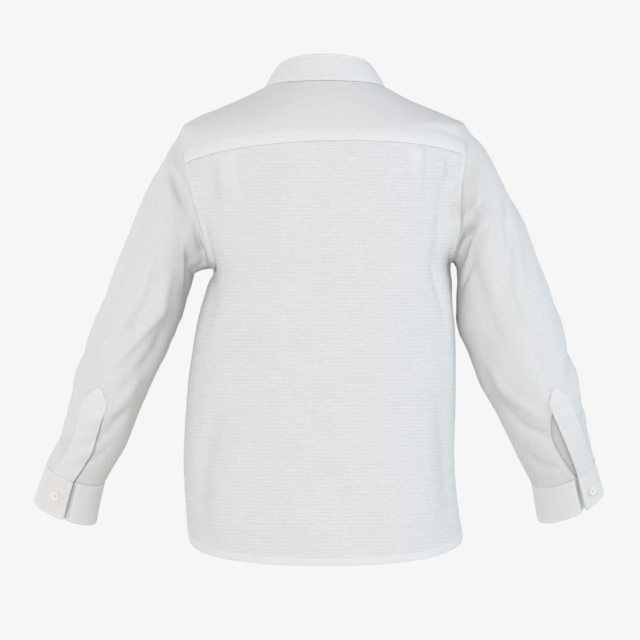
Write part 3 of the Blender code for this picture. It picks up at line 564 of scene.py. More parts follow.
def cloth_finish(name, slub):
    """White cotton. Slub is how strongly its thick threads show, from 0 to 1."""
    material, finish, shader = new_finish(name, 0.85)
    flat = finish.node("ShaderNodeUVMap", {"uv_map": "flat_cut"})
    doubled = finish.node("ShaderNodeAttribute", {"attribute_name": "doubled"}, output="Fac")
    down = finish.node("ShaderNodeSeparateXYZ", {}, {0: flat}, "Y")
    drift, dashes, long_dashes, warp, threads, grain, cloud = (
        stretched_noise(finish, flat, *row) for row in NOISES)
    turns = down * (2.0 * math.pi / RIB_PITCH) + drift * 4.5
    wave = finish.node("ShaderNodeMath", {"operation": "SINE"}, {0: turns})
    ribs = wave * (dashes * 0.34) + (dashes - 0.5) * 0.8 + (long_dashes - 0.5) * 0.4
    ribs = ribs * (1.0 - doubled * 0.8)
    cross = (warp - 0.5) * (0.6 + 0.5 * slub)
    close = (threads - 0.5) * 0.9 + (grain - 0.5) * 0.9
    relief = ribs * slub + cross * 0.6 + close * 0.55
    # The same noise raises the threads and mixes their colour, so the hollows get painted shade and
    # the tops painted light; only the large clouds below are the cloth's own uneven tone.
    thread_shade_and_tone = 0.5 + ribs * (0.8 * slub) + cross * (0.95 - 0.4 * slub) + close * (0.95 - 0.45 * slub)
    thread_shade_and_tone = thread_shade_and_tone + (cloud - 0.5) * 0.18
    single = finish.mix(thread_shade_and_tone, SHADED_THREAD, LIT_THREAD)
    whiter = finish.mix(thread_shade_and_tone, SHADED_DOUBLED, LIT_DOUBLED)
    body = finish.mix(doubled, single, whiter)
    raised = finish.node(
        "ShaderNodeBump", inputs={"Strength": 1.0, "Distance": RELIEF_DEPTH, "Height": relief})
    finish.tree.links.new(body.socket, shader.inputs["Base Color"])
    finish.tree.links.new(raised.socket, shader.inputs["Normal"])
    finish.tree.links.new((0.86 - ribs * 0.2).socket, shader.inputs["Roughness"])
    shader.inputs["Sheen Weight"].default_value = 0.12
    shader.inputs["Sheen Roughness"].default_value = 0.5
    shader.inputs["Specular IOR Level"].default_value = 0.25
    through = finish.node("ShaderNodeBsdfTranslucent", {}, {"Color": THROUGH_COLOUR})
    front = Wire(finish, shader.outputs[0])
    thin = finish.node("ShaderNodeMixShader", {}, {0: LIGHT_THROUGH, 1: front, 2: through})
    finish.tree.links.new(thin.socket, finish.tree.nodes["Material Output"].inputs["Surface"])
    print("finish:", name)
    return material


slub_cloth = cloth_finish("slub_cotton", 1.0)
plain_cloth = cloth_finish("plain_cotton", 0.4)


def thread_finish(name, colour):
    """Sewing thread: white, twisted, with a slight shine."""
    material, finish, shader = new_finish(name, 0.6)
    place = finish.node("ShaderNodeTexCoord", output="Object")
    twist = finish.node(
        "ShaderNodeTexNoise", {}, {"Vector": place, "Scale": 2500.0, "Detail": 1.0})
    body = finish.mix(twist, tuple(0.93 * part for part in colour) + (1.0,), colour + (1.0,))
    finish.tree.links.new(body.socket, shader.inputs["Base Color"])
    return material


white_thread = thread_finish("white_thread", (0.93, 0.93, 0.925))

# %% [markdown]
# ## Back
#
# The back hangs from the yoke's seam. Two knife pleats under the yoke give room across the shoulder
# blades, and each is a lip that stands out at the seam and fades below. Where the arms hang down,
# long drag folds run from the armholes to the side seams. The hem is turned twice and stitched.

# %% Edges of the panels
ARMHOLE_BACK = 27.0
ARMHOLE_FRONT = 30.0
BACK_SEAM_TURN = 60.0
FRONT_SEAM_TURN = 45.0
SEAM = 0.35
CALM_ANGLE = 45.0
BACK_SEAM_GAP = 0.008
FRONT_SEAM_GAP = 0.45
HEM_BAND = 9.0
HEM_STITCH = 7.6
SIDE_STITCH = 1.8
TUCK_REACH = 6.0
NECK_TUCK_REACH = 5.0
SKIRT_ROWS = 120


def armhole_place(turn, front):
    """Places on the armhole: degrees off the side line, and ring. Turn 0 is the shoulder tip."""
    turn = np.asarray(turn, float)
    reach = np.sin(np.radians(turn)) * np.where(front, -ARMHOLE_FRONT, ARMHOLE_BACK)
    middle, half = (TIP_RING + PIT_RING) / 2.0, (PIT_RING - TIP_RING) / 2.0
    return reach, middle - half * np.cos(np.radians(turn))


def side_gap(place, front):
    """Degrees between the side line and a panel's edge, half a seam's width."""
    ring = read_table(RINGS, place)
    depth = ring[..., 7] if front else ring[..., 6]
    return np.degrees(np.arcsin((SEAM / 2.0 / depth) ** (ring[..., 8] / 2.0)))


def panel_rows(front, last_turn, above):
    """Ring and side reach of a panel's rows, from the hem up the armhole."""
    skirt = HEM_RING + (PIT_RING - HEM_RING) * shares(SKIRT_ROWS)[:-3]
    turns = np.linspace(180.0, last_turn, above + 1)[1:]
    reach, place = armhole_place(turns, front)
    gap = side_gap(skirt, front) * (-1.0 if front else 1.0)
    return np.concatenate([skirt, place]), np.concatenate([gap, reach])


def middle_lengths(grid, angle, middle):
    """Length along each row of a grid, from the middle of the shirt."""
    along = walked_along(grid, 1)
    rows = [np.interp(middle, angle[row], along[row]) for row in range(len(angle))]
    return along - np.array(rows)[:, None]


def cloth_piece(name, node, slot, material, base, normal, lift, flat, doubled, joined=0,
                turn_in=(), thick=DOUBLED):
    """Makes one cut piece from its form, and gives the piece and its outer face.

    Each turn_in adds the seam allowance of the first or last row: its edge, the way out of the
    piece, the way in under its neighbour, how deep it lies and how far it reaches.
    """
    outer = base + normal * lift[..., None]
    inner = outer - normal * (THIN + (thick - THIN) * doubled)[..., None]
    visible = outer
    for edge, away, facing, depth, reach in turn_in:
        row = 0 if edge == "first_row" else -1
        extra, extra_flat = [], []
        for step in (0.4, reach):
            extra.append(visible[row] + away * step - facing * depth)
            extra_flat.append(flat[row] + np.array((0.0, -step if row == 0 else step)))
        extra, extra_flat = np.array(extra), np.array(extra_flat)
        below = extra - facing * THIN
        shade = np.repeat(doubled[[row]], 2, axis=0)
        if row == 0:
            joined = joined + 2 if joined else 0
            outer, inner, flat, doubled = (np.concatenate([new[::-1], old]) for new, old in (
                (extra, outer), (below, inner), (extra_flat, flat), (shade, doubled)))
        else:
            outer, inner, flat, doubled = (np.concatenate([old, new]) for new, old in (
                (extra, outer), (below, inner), (extra_flat, flat), (shade, doubled)))
    mesh = wall_mesh(name, outer, inner, flat, doubled, joined)
    return add_piece(name, mesh, material, slot, *([node] if node else [])), visible


def stitch_piece(name, slot, rows):
    """Makes the stitches of one piece from their rows."""
    return add_piece(name, stitch_mesh(name, rows), white_thread, slot)


def cut_area(grid):
    """Area of a grid of points in mm, in square metres."""
    one = np.cross(grid[1:, 1:] - grid[:-1, :-1], grid[1:, :-1] - grid[:-1, 1:])
    return float(np.linalg.norm(one, axis=-1).sum() / 2.0) * MM * MM


# %% Pleats and folds of the back
PLEATS = (
    # angle of the edge, its side, height, how soft its lip is, the ring where it has faded, and
    # where its folded cloth starts and ends, in degrees out from the edge
    (48.5, 1.0, 1.7, 3.2, 7.2, -7.4, 3.4),
    (127.8, -1.0, 2.8, 1.3, 6.8, -5.4, -0.4),
)
PLEAT_RAMP = 4.6
PLEAT_COLUMNS = (0.25, -0.35, -0.7, -1.05, -1.4, -1.8)
BACK_FOLDS = (
    # x and z of each point of the path, half width, height
    (124, -72, 124, -104, 126, -140, 11, -5), (134, -150, 126, -190, 124, -240, 7, -3),
    (140, -150, 132, -190, 128, -222, 4, 2.4), (116, -180, 124, -240, 132, -300, 7, -1.8),
    (-122, -76, -125, -92, -125, -112, 6.5, 4.2),
    (-130, -96, -130, -116, -127, -140, -124, -170, -126, -214, 15, -8.6),
    (-112, -100, -108, -130, -104, -170, 8, -2.4), (-118, -120, -117, -150, -115, -186, 7, 2.6),
    (-116, -196, -126, -246, -131, -268, 3.2, -3), (-127, -212, -134, -262, -138, -330, 6, 2.4),
    (-122, -330, -130, -390, -136, -470, 8, -4.4), (-104, -380, -112, -440, -116, -500, 10, 2.2),
    (118, -350, 130, -410, 138, -480, 10, -4.4), (98, -400, 106, -450, 108, -506, 12, 2),
    (-40, -420, -46, -470, -44, -515, 12, -1.6), (30, -430, 26, -480, 30, -516, 14, 1.5),
    (56, -300, 64, -360, 58, -430, 16, -1.6), (-66, -210, -58, -290, -64, -360, 18, 1.6),
    (16, -90, 22, -160, 14, -240, 20, -1.4),
)


def pleat_height(angle, place):
    """How far the knife pleats under the yoke stand out, and where their cloth lies threefold."""
    height, folded = 0.0, 0.0
    for edge, side, top, lip, end_ring, start, end in PLEATS:
        outward = (edge - angle) * side
        ramp = np.exp(-(outward / np.where(outward < 0.0, PLEAT_RAMP, lip)) ** 2)
        fade = 1.0 - smooth_step((place - YOKE_RING) / (end_ring - YOKE_RING))
        near_seam = 0.15 + 0.85 * smooth_step((place - YOKE_RING) / 0.25)
        height = height + top * ramp * fade * near_seam
        threefold = smooth_step((outward - start) / 0.7) * smooth_step((end - outward) / 0.7)
        folded = folded + fade * threefold
    return height, folded


# %% Back panel
BACK_ROWS = 60
BACK_COLUMNS = 150
BACK_TUCK = 1.25
WELT = 3.0

back_places, back_reach = panel_rows(False, BACK_SEAM_TURN, BACK_ROWS)
back_places = np.maximum(back_places, YOKE_RING + BACK_SEAM_GAP)
columns = [180.0 * shares(BACK_COLUMNS)]
for edge, side, _, lip, _, _, _ in PLEATS:
    columns.append(edge + side * lip * np.array(PLEAT_COLUMNS))
columns = np.sort(np.concatenate(columns))[None, :]
reach = back_reach[:, None]
angle = np.where(
    columns < CALM_ANGLE, reach + (CALM_ANGLE - reach) * columns / CALM_ANGLE,
    np.where(
        columns > 180.0 - CALM_ANGLE,
        180.0 - reach - (CALM_ANGLE - reach) * (180.0 - columns) / CALM_ANGLE, columns))
place = back_places[:, None] + 0.0 * angle
base, normal = body_form(angle, place)
from_hem, from_yoke, from_left, from_right = edge_distances(base)
side_edge = np.minimum(from_left, from_right)
calm = smooth_step((angle - reach) / 6.0) * smooth_step((180.0 - reach - angle) / 6.0)
x, z = base[..., 0], base[..., 2]
around = middle_lengths(base, angle, 90.0)
under_yoke = smooth_step(from_yoke / 16.0)
pleats, folded = pleat_height(angle, place)
relief = pleats + calm * under_yoke * folds(x, z, BACK_FOLDS)
uneven = 1.1 * swell(around, z, 46.0, 4) + 0.3 * swell(around, z * 0.6, 17.0, 5)
relief += calm * under_yoke * uneven
relief += puckers(from_hem, around, 9.0, 0.30, 6) + puckers(from_yoke, around, 9.0, 0.22, 8)
relief += puckers(side_edge, z, 7.0, 0.25, 10)
relief += rolled(from_yoke, 0.1) + rolled(side_edge, 0.2) + rolled(from_hem)
welt = np.exp(-((side_edge - WELT) / WELT) ** 2) * (place < PIT_RING)
relief += 0.9 * welt
relief += groove(from_hem, HEM_STITCH) + 0.25 * smooth_step((HEM_BAND - from_hem) / 0.8)
hem = smooth_step((HEM_BAND - from_hem) / 1.2)
doubled = np.maximum(np.maximum(hem, 0.7 * welt), 0.75 * folded)
upward = unit(base[-1] - base[-3])
back, back_outer = cloth_piece(
    "back", "back_panel", "back_cloth", slub_cloth, base, normal, relief,
    np.stack([around, -z], -1), doubled,
    turn_in=[("last_row", upward, normal[-1], BACK_TUCK, TUCK_REACH)])
back_hem = stitch_piece("back_hem_stitches", "back_cloth", [
    edge_stitches(back_outer, normal, "first_row", HEM_STITCH, 1.5, 1.5)])
print("back area:", round(cut_area(back_outer), 4), "width:", np.ptp(around, axis=1).max())

# %% [markdown]
# ## Yoke
#
# The yoke is a doubled piece that wraps over both shoulders to a seam on each front. Its lower edge
# is folded under and sewn over the back with two rows of stitches, and the seam's cloth under it
# shows as a paler band about 14 mm high.

# %% Yoke
YOKE_LIFT = 0.5
NECK_SEAM_ANGLE = -24.0
SHOULDER_NECK_ANGLE = 30.0
YOKE_BAND = 14.0
YOKE_STITCHES = (1.6, 4.2)
YOKE_NECK_TUCK = 2.0
YOKE_ROWS = 54
YOKE_FRONT_COLUMNS, YOKE_ARMHOLE_COLUMNS, YOKE_SEAM_COLUMNS = 24, 34, 70
YOKE_FOLDS = (
    (-116, -50, -140, -56, -154, -64, 3.5, -1.3), (-96, -44, -128, -42, -150, -50, 6, 0.9),
    (104, -46, 136, -50, 152, -66, 5, -1), (-30, -12, -62, -24, -96, -36, 9, -0.8),
    (34, -12, 70, -26, 104, -36, 9, -0.7), (-8, -20, 4, -36, -4, -52, 12, 0.5),
)

front_turn = np.linspace(FRONT_SEAM_TURN, 0.0, YOKE_FRONT_COLUMNS + 1)[:-1]
back_turn = np.linspace(0.0, BACK_SEAM_TURN, YOKE_ARMHOLE_COLUMNS)
front_edge, back_edge = armhole_place(front_turn, True), armhole_place(back_turn, False)
seam_start = float(back_edge[0][-1])
seam_share = shares(YOKE_SEAM_COLUMNS)[1:]
seam_angle = seam_start + (90.0 - seam_start) * seam_share
half_angle = np.concatenate([front_edge[0], back_edge[0], seam_angle])
half_place = np.concatenate([front_edge[1], back_edge[1], np.full(len(seam_share), YOKE_RING)])
half_neck = np.concatenate([
    NECK_SEAM_ANGLE * front_turn / FRONT_SEAM_TURN,
    SHOULDER_NECK_ANGLE * back_turn / BACK_SEAM_TURN,
    SHOULDER_NECK_ANGLE + (90.0 - SHOULDER_NECK_ANGLE) * seam_share])
outline_angle = np.concatenate([half_angle, 180.0 - half_angle[-2::-1]])[None, :]
outline_place = np.concatenate([half_place, half_place[-2::-1]])[None, :]
outline_neck = np.concatenate([half_neck, 180.0 - half_neck[-2::-1]])[None, :]
share = shares(YOKE_ROWS)[:, None]
angle = outline_neck + (outline_angle - outline_neck) * share
place = outline_place * share
base, normal = body_form(angle, place)
from_neck, from_seam, from_left, from_right = edge_distances(base)
inside = seam_start * 0.6
over_back = smooth_step((angle - inside) / 8.0) * smooth_step((180.0 - inside - angle) / 8.0)
on_seam = (outline_angle >= seam_start) & (outline_angle <= 180.0 - seam_start)
x, z = base[..., 0], base[..., 2]
around = middle_lengths(base, angle, 90.0)
band = smooth_step((YOKE_BAND - from_seam) / 1.2) * on_seam
relief = YOKE_LIFT + over_back * folds(x, z, YOKE_FOLDS)
calm = smooth_step(from_neck / 12.0) * smooth_step(from_seam / 12.0)
relief += 0.4 * swell(around, from_neck, 38.0, 21) * calm
relief += puckers(from_seam, around, 8.0, 0.22, 22) + puckers(from_neck, around, 6.0, 0.2, 24)
relief += 0.16 * band + rolled(from_seam, 0.2) + rolled(from_neck, 0.1)
relief += rolled(np.minimum(from_left, from_right), 0.2)
for inset in YOKE_STITCHES:
    relief += groove(from_seam, inset, 0.22, 0.7) * on_seam
yoke, yoke_outer = cloth_piece(
    "yoke", "back_yoke", "yoke_cloth", plain_cloth, base, normal, relief,
    np.stack([around, from_neck], -1), band * np.ones_like(around),
    turn_in=[("first_row", *into_collar(angle[0], base[0]), YOKE_NECK_TUCK, NECK_TUCK_REACH)])
seam_columns = np.flatnonzero(on_seam[0])
seam_grid = yoke_outer[:, seam_columns], normal[:, seam_columns]
yoke_rows = [edge_stitches(*seam_grid, "last_row", inset, 1.0, 1.0) for inset in YOKE_STITCHES]
for edge in ("first_column", "last_column"):
    yoke_rows.append(edge_stitches(yoke_outer, normal, edge, SIDE_STITCH))
yoke_stitches = stitch_piece("yoke_stitches", "yoke_cloth", yoke_rows)
print("yoke area:", round(cut_area(yoke_outer), 4), "width:", np.ptp(around, axis=1).max())

# %% [markdown]
# ## Fronts and button strip
#
# Each front runs from its side seam to the middle. The left front ends under the button strip, and
# the right front runs in under it. The strip is a doubled band, stitched along both edges.

# %% Fronts
STRIP_HALF = 14.0
UNDER_EDGE = 12.0
FRONT_NECK_TUCK = 2.6
FRONT_ROWS, NECK_ROWS, SHOULDER_ROWS, FRONT_COLUMNS = 58, 30, 30, 76
FRONT_FOLDS = {
    1.0: (
        (134, -96, 137, -130, 130, -176, 8, -3), (116, -104, 112, -150, 112, -196, 10, 2),
        (126, -200, 131, -262, 134, -330, 5, -1.4), (112, -350, 124, -420, 130, -486, 10, -2.2),
        (86, -380, 92, -440, 94, -506, 12, 1.4), (44, -130, 52, -200, 48, -280, 14, -1),
        (34, -330, 40, -400, 36, -470, 14, 1),
    ),
    -1.0: (
        (-132, -94, -136, -126, -130, -172, 8, -2.8), (-112, -100, -110, -144, -112, -190, 10, 1.9),
        (-124, -204, -130, -266, -132, -326, 6, -1.3),
        (-116, -340, -124, -404, -130, -478, 10, -2.4), (-92, -392, -98, -446, -98, -506, 11, 1.3),
        (-46, -140, -40, -210, -48, -270, 15, -0.9), (-52, -340, -44, -400, -50, -480, 13, 0.9),
    ),
}


def front_angle(x_value, place):
    """Angle on the body's front of a place at a given x."""
    ring = read_table(RINGS, place)
    across = (x_value - ring[..., 4]) / ring[..., 3]
    return 270.0 + np.degrees(np.arcsin(signed_power(across, ring[..., 8] / 2.0)))


corner_reach, corner_place = (float(value) for value in armhole_place(FRONT_SEAM_TURN, True))
front_places, front_reach = panel_rows(True, FRONT_SEAM_TURN, FRONT_ROWS)
neck_places = corner_place * (1.0 - shares(NECK_ROWS))[1:]
neck_reach = NECK_SEAM_ANGLE + (corner_reach - NECK_SEAM_ANGLE) * neck_places / corner_place
neck_reach -= FRONT_SEAM_GAP
front_reach[-1] -= FRONT_SEAM_GAP
front_places = np.concatenate([front_places, neck_places])
front_reach = np.concatenate([front_reach, neck_reach])


def make_front(name, node, side, edge_x, seed):
    """One front, with its stitches."""
    start = front_reach if side > 0.0 else 180.0 - front_reach
    end = front_angle(edge_x, front_places) - (360.0 if side > 0.0 else 0.0)
    angle = start[:, None] + (end - start)[:, None] * shares(FRONT_COLUMNS)[None, :]
    place = front_places[:, None] + 0.0 * angle
    base, normal = body_form(angle, place)
    from_hem, from_neck, from_side, from_middle = edge_distances(base)
    x, z = base[..., 0], base[..., 2]
    calm = smooth_step(from_side / 14.0) * smooth_step(from_neck / 14.0)
    calm = calm * smooth_step((from_middle - 22.0) / 20.0)
    relief = calm * (1.6 * folds(x, z, FRONT_FOLDS[side]) + 1.1 * swell(x, z, 44.0, seed))
    relief += calm * 0.3 * swell(x, z * 0.6, 17.0, seed + 1)
    relief += puckers(from_hem, x, 9.0, 0.28, seed + 2) * smooth_step((from_middle - 26.0) / 8.0)
    relief += puckers(from_side, z, 7.0, 0.22, seed + 4)
    relief += rolled(from_hem) + rolled(from_side) + rolled(from_neck)
    relief += groove(from_hem, HEM_STITCH) * smooth_step((from_middle - 24.0) / 4.0)
    doubled = smooth_step((HEM_BAND - from_hem) / 1.2)
    around = side * -from_middle
    piece, outer = cloth_piece(
        name, node, node + "_cloth", slub_cloth, base, normal, relief,
        np.stack([around, -z], -1), doubled,
        turn_in=[
            ("last_row", *into_collar(angle[-1], base[-1]), FRONT_NECK_TUCK, NECK_TUCK_REACH)])
    top = slice(-SHOULDER_ROWS, None)
    stitches = stitch_piece(name + "_stitches", node + "_cloth", [
        edge_stitches(outer, normal, "first_row", HEM_STITCH, 1.5, 27.0),
        edge_stitches(outer[top], normal[top], "first_column", SIDE_STITCH, 3.0)])
    print(name, "area:", round(cut_area(outer), 4), "width:", from_middle.max())
    return piece, stitches


left_front = make_front("left_front", "front_left", 1.0, UNDER_EDGE + SEAM, 31)
right_front = make_front("right_front", "front_right", -1.0, UNDER_EDGE, 41)

# %% Button strip
STRIP_RISE = 1.8
STRIP_TOP_RING = 0.22
STRIP_STITCH = 3.2
STRIP_COLUMNS = 26

columns = shares(STRIP_COLUMNS)[None, :]
place = np.maximum(front_places, STRIP_TOP_RING)[:, None] + 0.0 * columns
left_side, right_side = front_angle(-STRIP_HALF, place), front_angle(STRIP_HALF, place)
angle = left_side + (right_side - left_side) * columns
base, normal = body_form(angle, place)
from_hem, from_neck, from_left, from_right = edge_distances(base)
edge = np.minimum(from_left, from_right)
relief = STRIP_RISE + 0.12 * swell(base[..., 0], base[..., 2], 12.0, 51)
relief += puckers(edge, base[..., 2], 5.0, 0.22, 52)
relief += rolled(edge) + rolled(from_hem) + rolled(from_neck) + groove(from_hem, HEM_STITCH)
relief += groove(from_left, STRIP_STITCH) + groove(from_right, STRIP_STITCH)
button_strip, strip_outer = cloth_piece(
    "button_strip", "front_placket", "front_strip_cloth", plain_cloth, base, normal, relief,
    np.stack([base[..., 0], -base[..., 2]], -1), np.ones_like(relief))
strip_stitches = stitch_piece("button_strip_stitches", "front_strip_cloth", [
    edge_stitches(strip_outer, normal, edge, STRIP_STITCH, 1.5)
    for edge in ("first_column", "last_column")])
print("strip area:", round(cut_area(strip_outer), 4), "length:", from_hem.max())

# %% [markdown]
# ## Collar band
#
# The collar is a doubled band 25 mm high that stands up round the neck. Its left end lies over its
# right end at the front, where the top button closes it. It is stitched close to both edges.

# %% Collar band
BAND_THICK = 2.0
UNDER = 0.4
COLLAR_BULGE = 0.8
COLLAR_STEP_DOWN = 12.0
COLLAR_STITCH = 2.2
COLLAR_ROWS, COLLAR_COLUMNS = 14, 180
COLLAR_WALL = 3.3
collar_overlap = math.degrees(math.asin(STRIP_HALF / COLLAR_TOP[3]))


def collar_form(angle, share):
    """Points of the collar band's form and the directions out of it."""
    low = body_point(angle, np.full(np.shape(angle), NECK_RING))
    low = low + np.array((0.0, 0.0, SEAM + YOKE_LIFT))
    rise = collar_edge(angle) - low
    beside = collar_edge(angle + 0.5) - collar_edge(angle - 0.5)
    return low + rise * share[..., None], unit(np.cross(beside, rise))


def collar_lift(angle, share):
    """How far the collar's outer face lies off its form: its bulge, and the end that laps over."""
    over = 1.0 - smooth_step((angle + 90.0 - collar_overlap) / COLLAR_STEP_DOWN)
    return over * (BAND_THICK + UNDER) + COLLAR_BULGE * np.sin(np.pi * share)


angle = -90.0 - collar_overlap + (360.0 + 2.0 * collar_overlap) * shares(COLLAR_COLUMNS)[None, :]
share = shares(COLLAR_ROWS)[:, None] + 0.0 * angle
angle = angle + 0.0 * share
base, normal = collar_form(angle, share)
from_seam, from_top, from_left, from_right = edge_distances(base)
along = walked_along(base, 1)
relief = collar_lift(angle, share) + 0.25 * swell(along, from_seam, 22.0, 61)
relief += puckers(from_seam, along, 5.0, 0.18, 62)
relief += groove(from_top, COLLAR_STITCH) + groove(from_seam, COLLAR_STITCH)
relief += rolled(from_top) + rolled(from_seam, 0.1) + rolled(np.minimum(from_left, from_right))
# The collar's colour counts it as only a quarter doubled, so it is less white than the other
# doubled bands: painted shade.
collar, collar_outer = cloth_piece(
    "collar", "collar_band", "collar_cloth", plain_cloth, base, normal, relief,
    np.stack([along, from_seam], -1), np.full_like(relief, 0.25), thick=COLLAR_WALL)
COLLAR_EDGES = (("first_row", 2.0), ("last_row", 2.0), ("first_column", 2.5), ("last_column", 2.5))
collar_stitches = stitch_piece("collar_stitches", "collar_cloth", [
    edge_stitches(collar_outer, normal, edge, COLLAR_STITCH, trim, trim)
    for edge, trim in COLLAR_EDGES])
print("collar area:", round(cut_area(collar_outer), 4), "length:", along.max())

# %% [markdown]
# ## Sleeves
#
# A sleeve is one piece, sewn into a tube with its seam under the arm. It leaves the armhole round
# the cap, hangs down and forward with the arm, and is slit at the lower back so that the hand can
# pass. It is described by nine sections, each with its outer and inner side seen from behind.

# %% Sleeve form
SLEEVE_LEFT = np.array((
    # outer x and z, inner x and z, half depth, middle y
    (176.0, -80.0, 145.0, -207.0, 53.0, -2.0),
    (200.0, -124.0, 148.5, -223.0, 52.0, -3.0),
    (219.0, -170.0, 153.5, -241.0, 50.0, -4.0),
    (236.0, -211.0, 162.0, -262.0, 49.0, -5.0),
    (256.0, -262.0, 172.0, -288.0, 47.0, -7.0),
    (270.0, -306.0, 191.0, -327.0, 45.5, -12.0),
    (284.5, -355.0, 210.0, -369.5, 43.0, -20.0),
    (296.5, -390.5, 224.0, -402.5, 39.5, -30.0),
    (310.0, -416.0, 246.5, -439.0, 32.0, -38.5),
))
SLEEVE_RIGHT = np.array((
    (176.0, -70.0, 146.0, -204.0, 53.0, -2.0),
    (200.0, -115.0, 145.5, -223.0, 53.0, -3.0),
    (222.0, -162.0, 145.0, -245.0, 51.0, -4.0),
    (241.5, -209.0, 147.5, -269.0, 49.0, -6.0),
    (258.5, -253.0, 157.0, -289.0, 47.0, -9.0),
    (270.0, -293.0, 170.5, -328.5, 45.5, -15.0),
    (282.5, -337.0, 190.0, -361.0, 43.0, -26.0),
    (293.0, -375.0, 211.0, -401.0, 39.0, -40.0),
    (302.0, -412.5, 233.0, -442.0, 29.5, -57.0),
))
LAST_SECTION = 9.0
TWIST_START = 1.0
TWIST_MIDDLE = 6.0
UNDERARM_PUSH = 1.5
CAP_PULL = 0.3
ARMS = {
    "left": {
        "side": 1.0, "sections": SLEEVE_LEFT,
        "cuff_hem": np.array((325.5, -458.0, 257.5, -484.5, 30.2, -50.0)),
        "slit_turn": 90.0, "twist": 6.0, "end_twist": 6.0, "gape": 2.4, "binding": 1.7,
        "button_turn": 24.0, "button_share": 0.5},
    "right": {
        "side": -1.0, "sections": SLEEVE_RIGHT,
        "cuff_hem": np.array((315.0, -450.5, 241.5, -484.0, 27.0, -74.0)),
        "slit_turn": 75.0, "twist": 6.0, "end_twist": -2.0, "gape": 9.5, "binding": 3.8,
        "button_turn": 20.0, "button_share": 0.58},
}


def section_sides(row, side):
    """Middle, half width and half depth of a section from its table row."""
    outer = np.stack([row[..., 0] * side, row[..., 5], row[..., 1]], -1)
    inner = np.stack([row[..., 2] * side, row[..., 5], row[..., 3]], -1)
    return (outer + inner) / 2.0, (outer - inner) / 2.0, row[..., 4]


def section_frame(arm, place):
    """The same for any place down a sleeve."""
    return section_sides(read_table(arm["sections"], place - 1.0), arm["side"])


def section_point(arm, place, turn):
    """Points of a sleeve. Turn 0 is its outer side, 90 its back and 180 its inner side."""
    middle, across, depth = section_frame(arm, place)
    above = section_frame(arm, np.maximum(place - 0.1, 1.0))[0]
    below = section_frame(arm, np.minimum(place + 0.1, LAST_SECTION))[0]
    back = unit(np.cross(below - above, across)) * arm["side"]
    angle = np.radians(turn)
    return middle + across * np.cos(angle)[..., None] - back * (depth * np.sin(angle))[..., None]


def armhole_point(arm, turn):
    """Points of the armhole seam, the body's outward direction there and the way into the hole."""
    turn = np.mod(turn, 360.0)
    front = turn > 180.0
    reach, place = armhole_place(np.where(front, 360.0 - turn, turn), front)
    angle = reach if arm["side"] > 0.0 else 180.0 - reach
    point, normal = body_point(angle, place), body_normal(angle, place)
    side_line = 0.0 if arm["side"] > 0.0 else 180.0
    inward = body_point(np.array(side_line), np.array((TIP_RING + PIT_RING) / 2.0)) - point
    inward = inward - normal * (inward * normal).sum(-1, keepdims=True)
    return point, normal, unit(inward)


def sleeve_point(arm, place, turn):
    """Points of a sleeve's form, from the armhole at place 0 to the cuff seam."""
    place, turn = np.broadcast_arrays(np.asarray(place, float), np.asarray(turn, float))
    upper = smooth_step((place - TWIST_START) / (TWIST_MIDDLE - TWIST_START))
    lower = smooth_step((place - TWIST_MIDDLE) / (LAST_SECTION - TWIST_MIDDLE))
    turned = turn + arm["twist"] * upper + (arm["end_twist"] - arm["twist"]) * lower
    tube = section_point(arm, np.maximum(place, 1.0), turned)
    seam, normal, inward = armhole_point(arm, turn)
    start = seam + (normal + inward) * SEAM
    end = section_point(arm, np.ones_like(place), turned)
    reach = np.linalg.norm(end - start, axis=-1, keepdims=True)
    underarm = ((1.0 - np.cos(np.radians(turn))) / 2.0)[..., None]
    leave = unit(end - start) + normal * UNDERARM_PUSH * underarm ** 3 + inward * CAP_PULL
    leave = unit(leave) * reach
    arrive = (section_point(arm, np.full_like(place, 1.1), turned) - end) * 10.0
    step = np.clip(place, 0.0, 1.0)[..., None]
    square, cube = step ** 2, step ** 3
    cap = start * (2.0 * cube - 3.0 * square + 1.0) + leave * (cube - 2.0 * square + step)
    cap = cap + end * (3.0 * square - 2.0 * cube) + arrive * (cube - square)
    return np.where((place >= 1.0)[..., None], tube, cap)


def sleeve_normal(arm, place, turn):
    """Directions that point out of a sleeve's form."""
    above, below = np.maximum(place - 0.05, 0.0), np.minimum(place + 0.05, LAST_SECTION)
    down = sleeve_point(arm, below, turn) - sleeve_point(arm, above, turn)
    around = sleeve_point(arm, place, turn + 1.0) - sleeve_point(arm, place, turn - 1.0)
    return unit(np.cross(down, around)) * arm["side"]


def sleeve_form(arm, place, turn):
    """Points of a sleeve's form and the directions out of it."""
    return sleeve_point(arm, place, turn), sleeve_normal(arm, place, turn)


def place_above_cuff(arm, distance):
    """Places that lie so far above the cuff seam along the slit."""
    places = np.arange(LAST_SECTION, 4.0, -0.02)
    line = sleeve_point(arm, places, np.full_like(places, arm["slit_turn"]))
    walked = np.concatenate([[0.0], np.cumsum(np.linalg.norm(np.diff(line, axis=0), axis=1))])
    return np.interp(distance, walked, places)


# %% [markdown]
# The folds of a sleeve gather where the arm leaves the body, run slanting down the inner side and
# bunch softly above the cuff. Those seen from behind are placed in x and z. The same kind of folds
# is laid on the side that faces forward. The largest are in the solid, and follow section and turn.

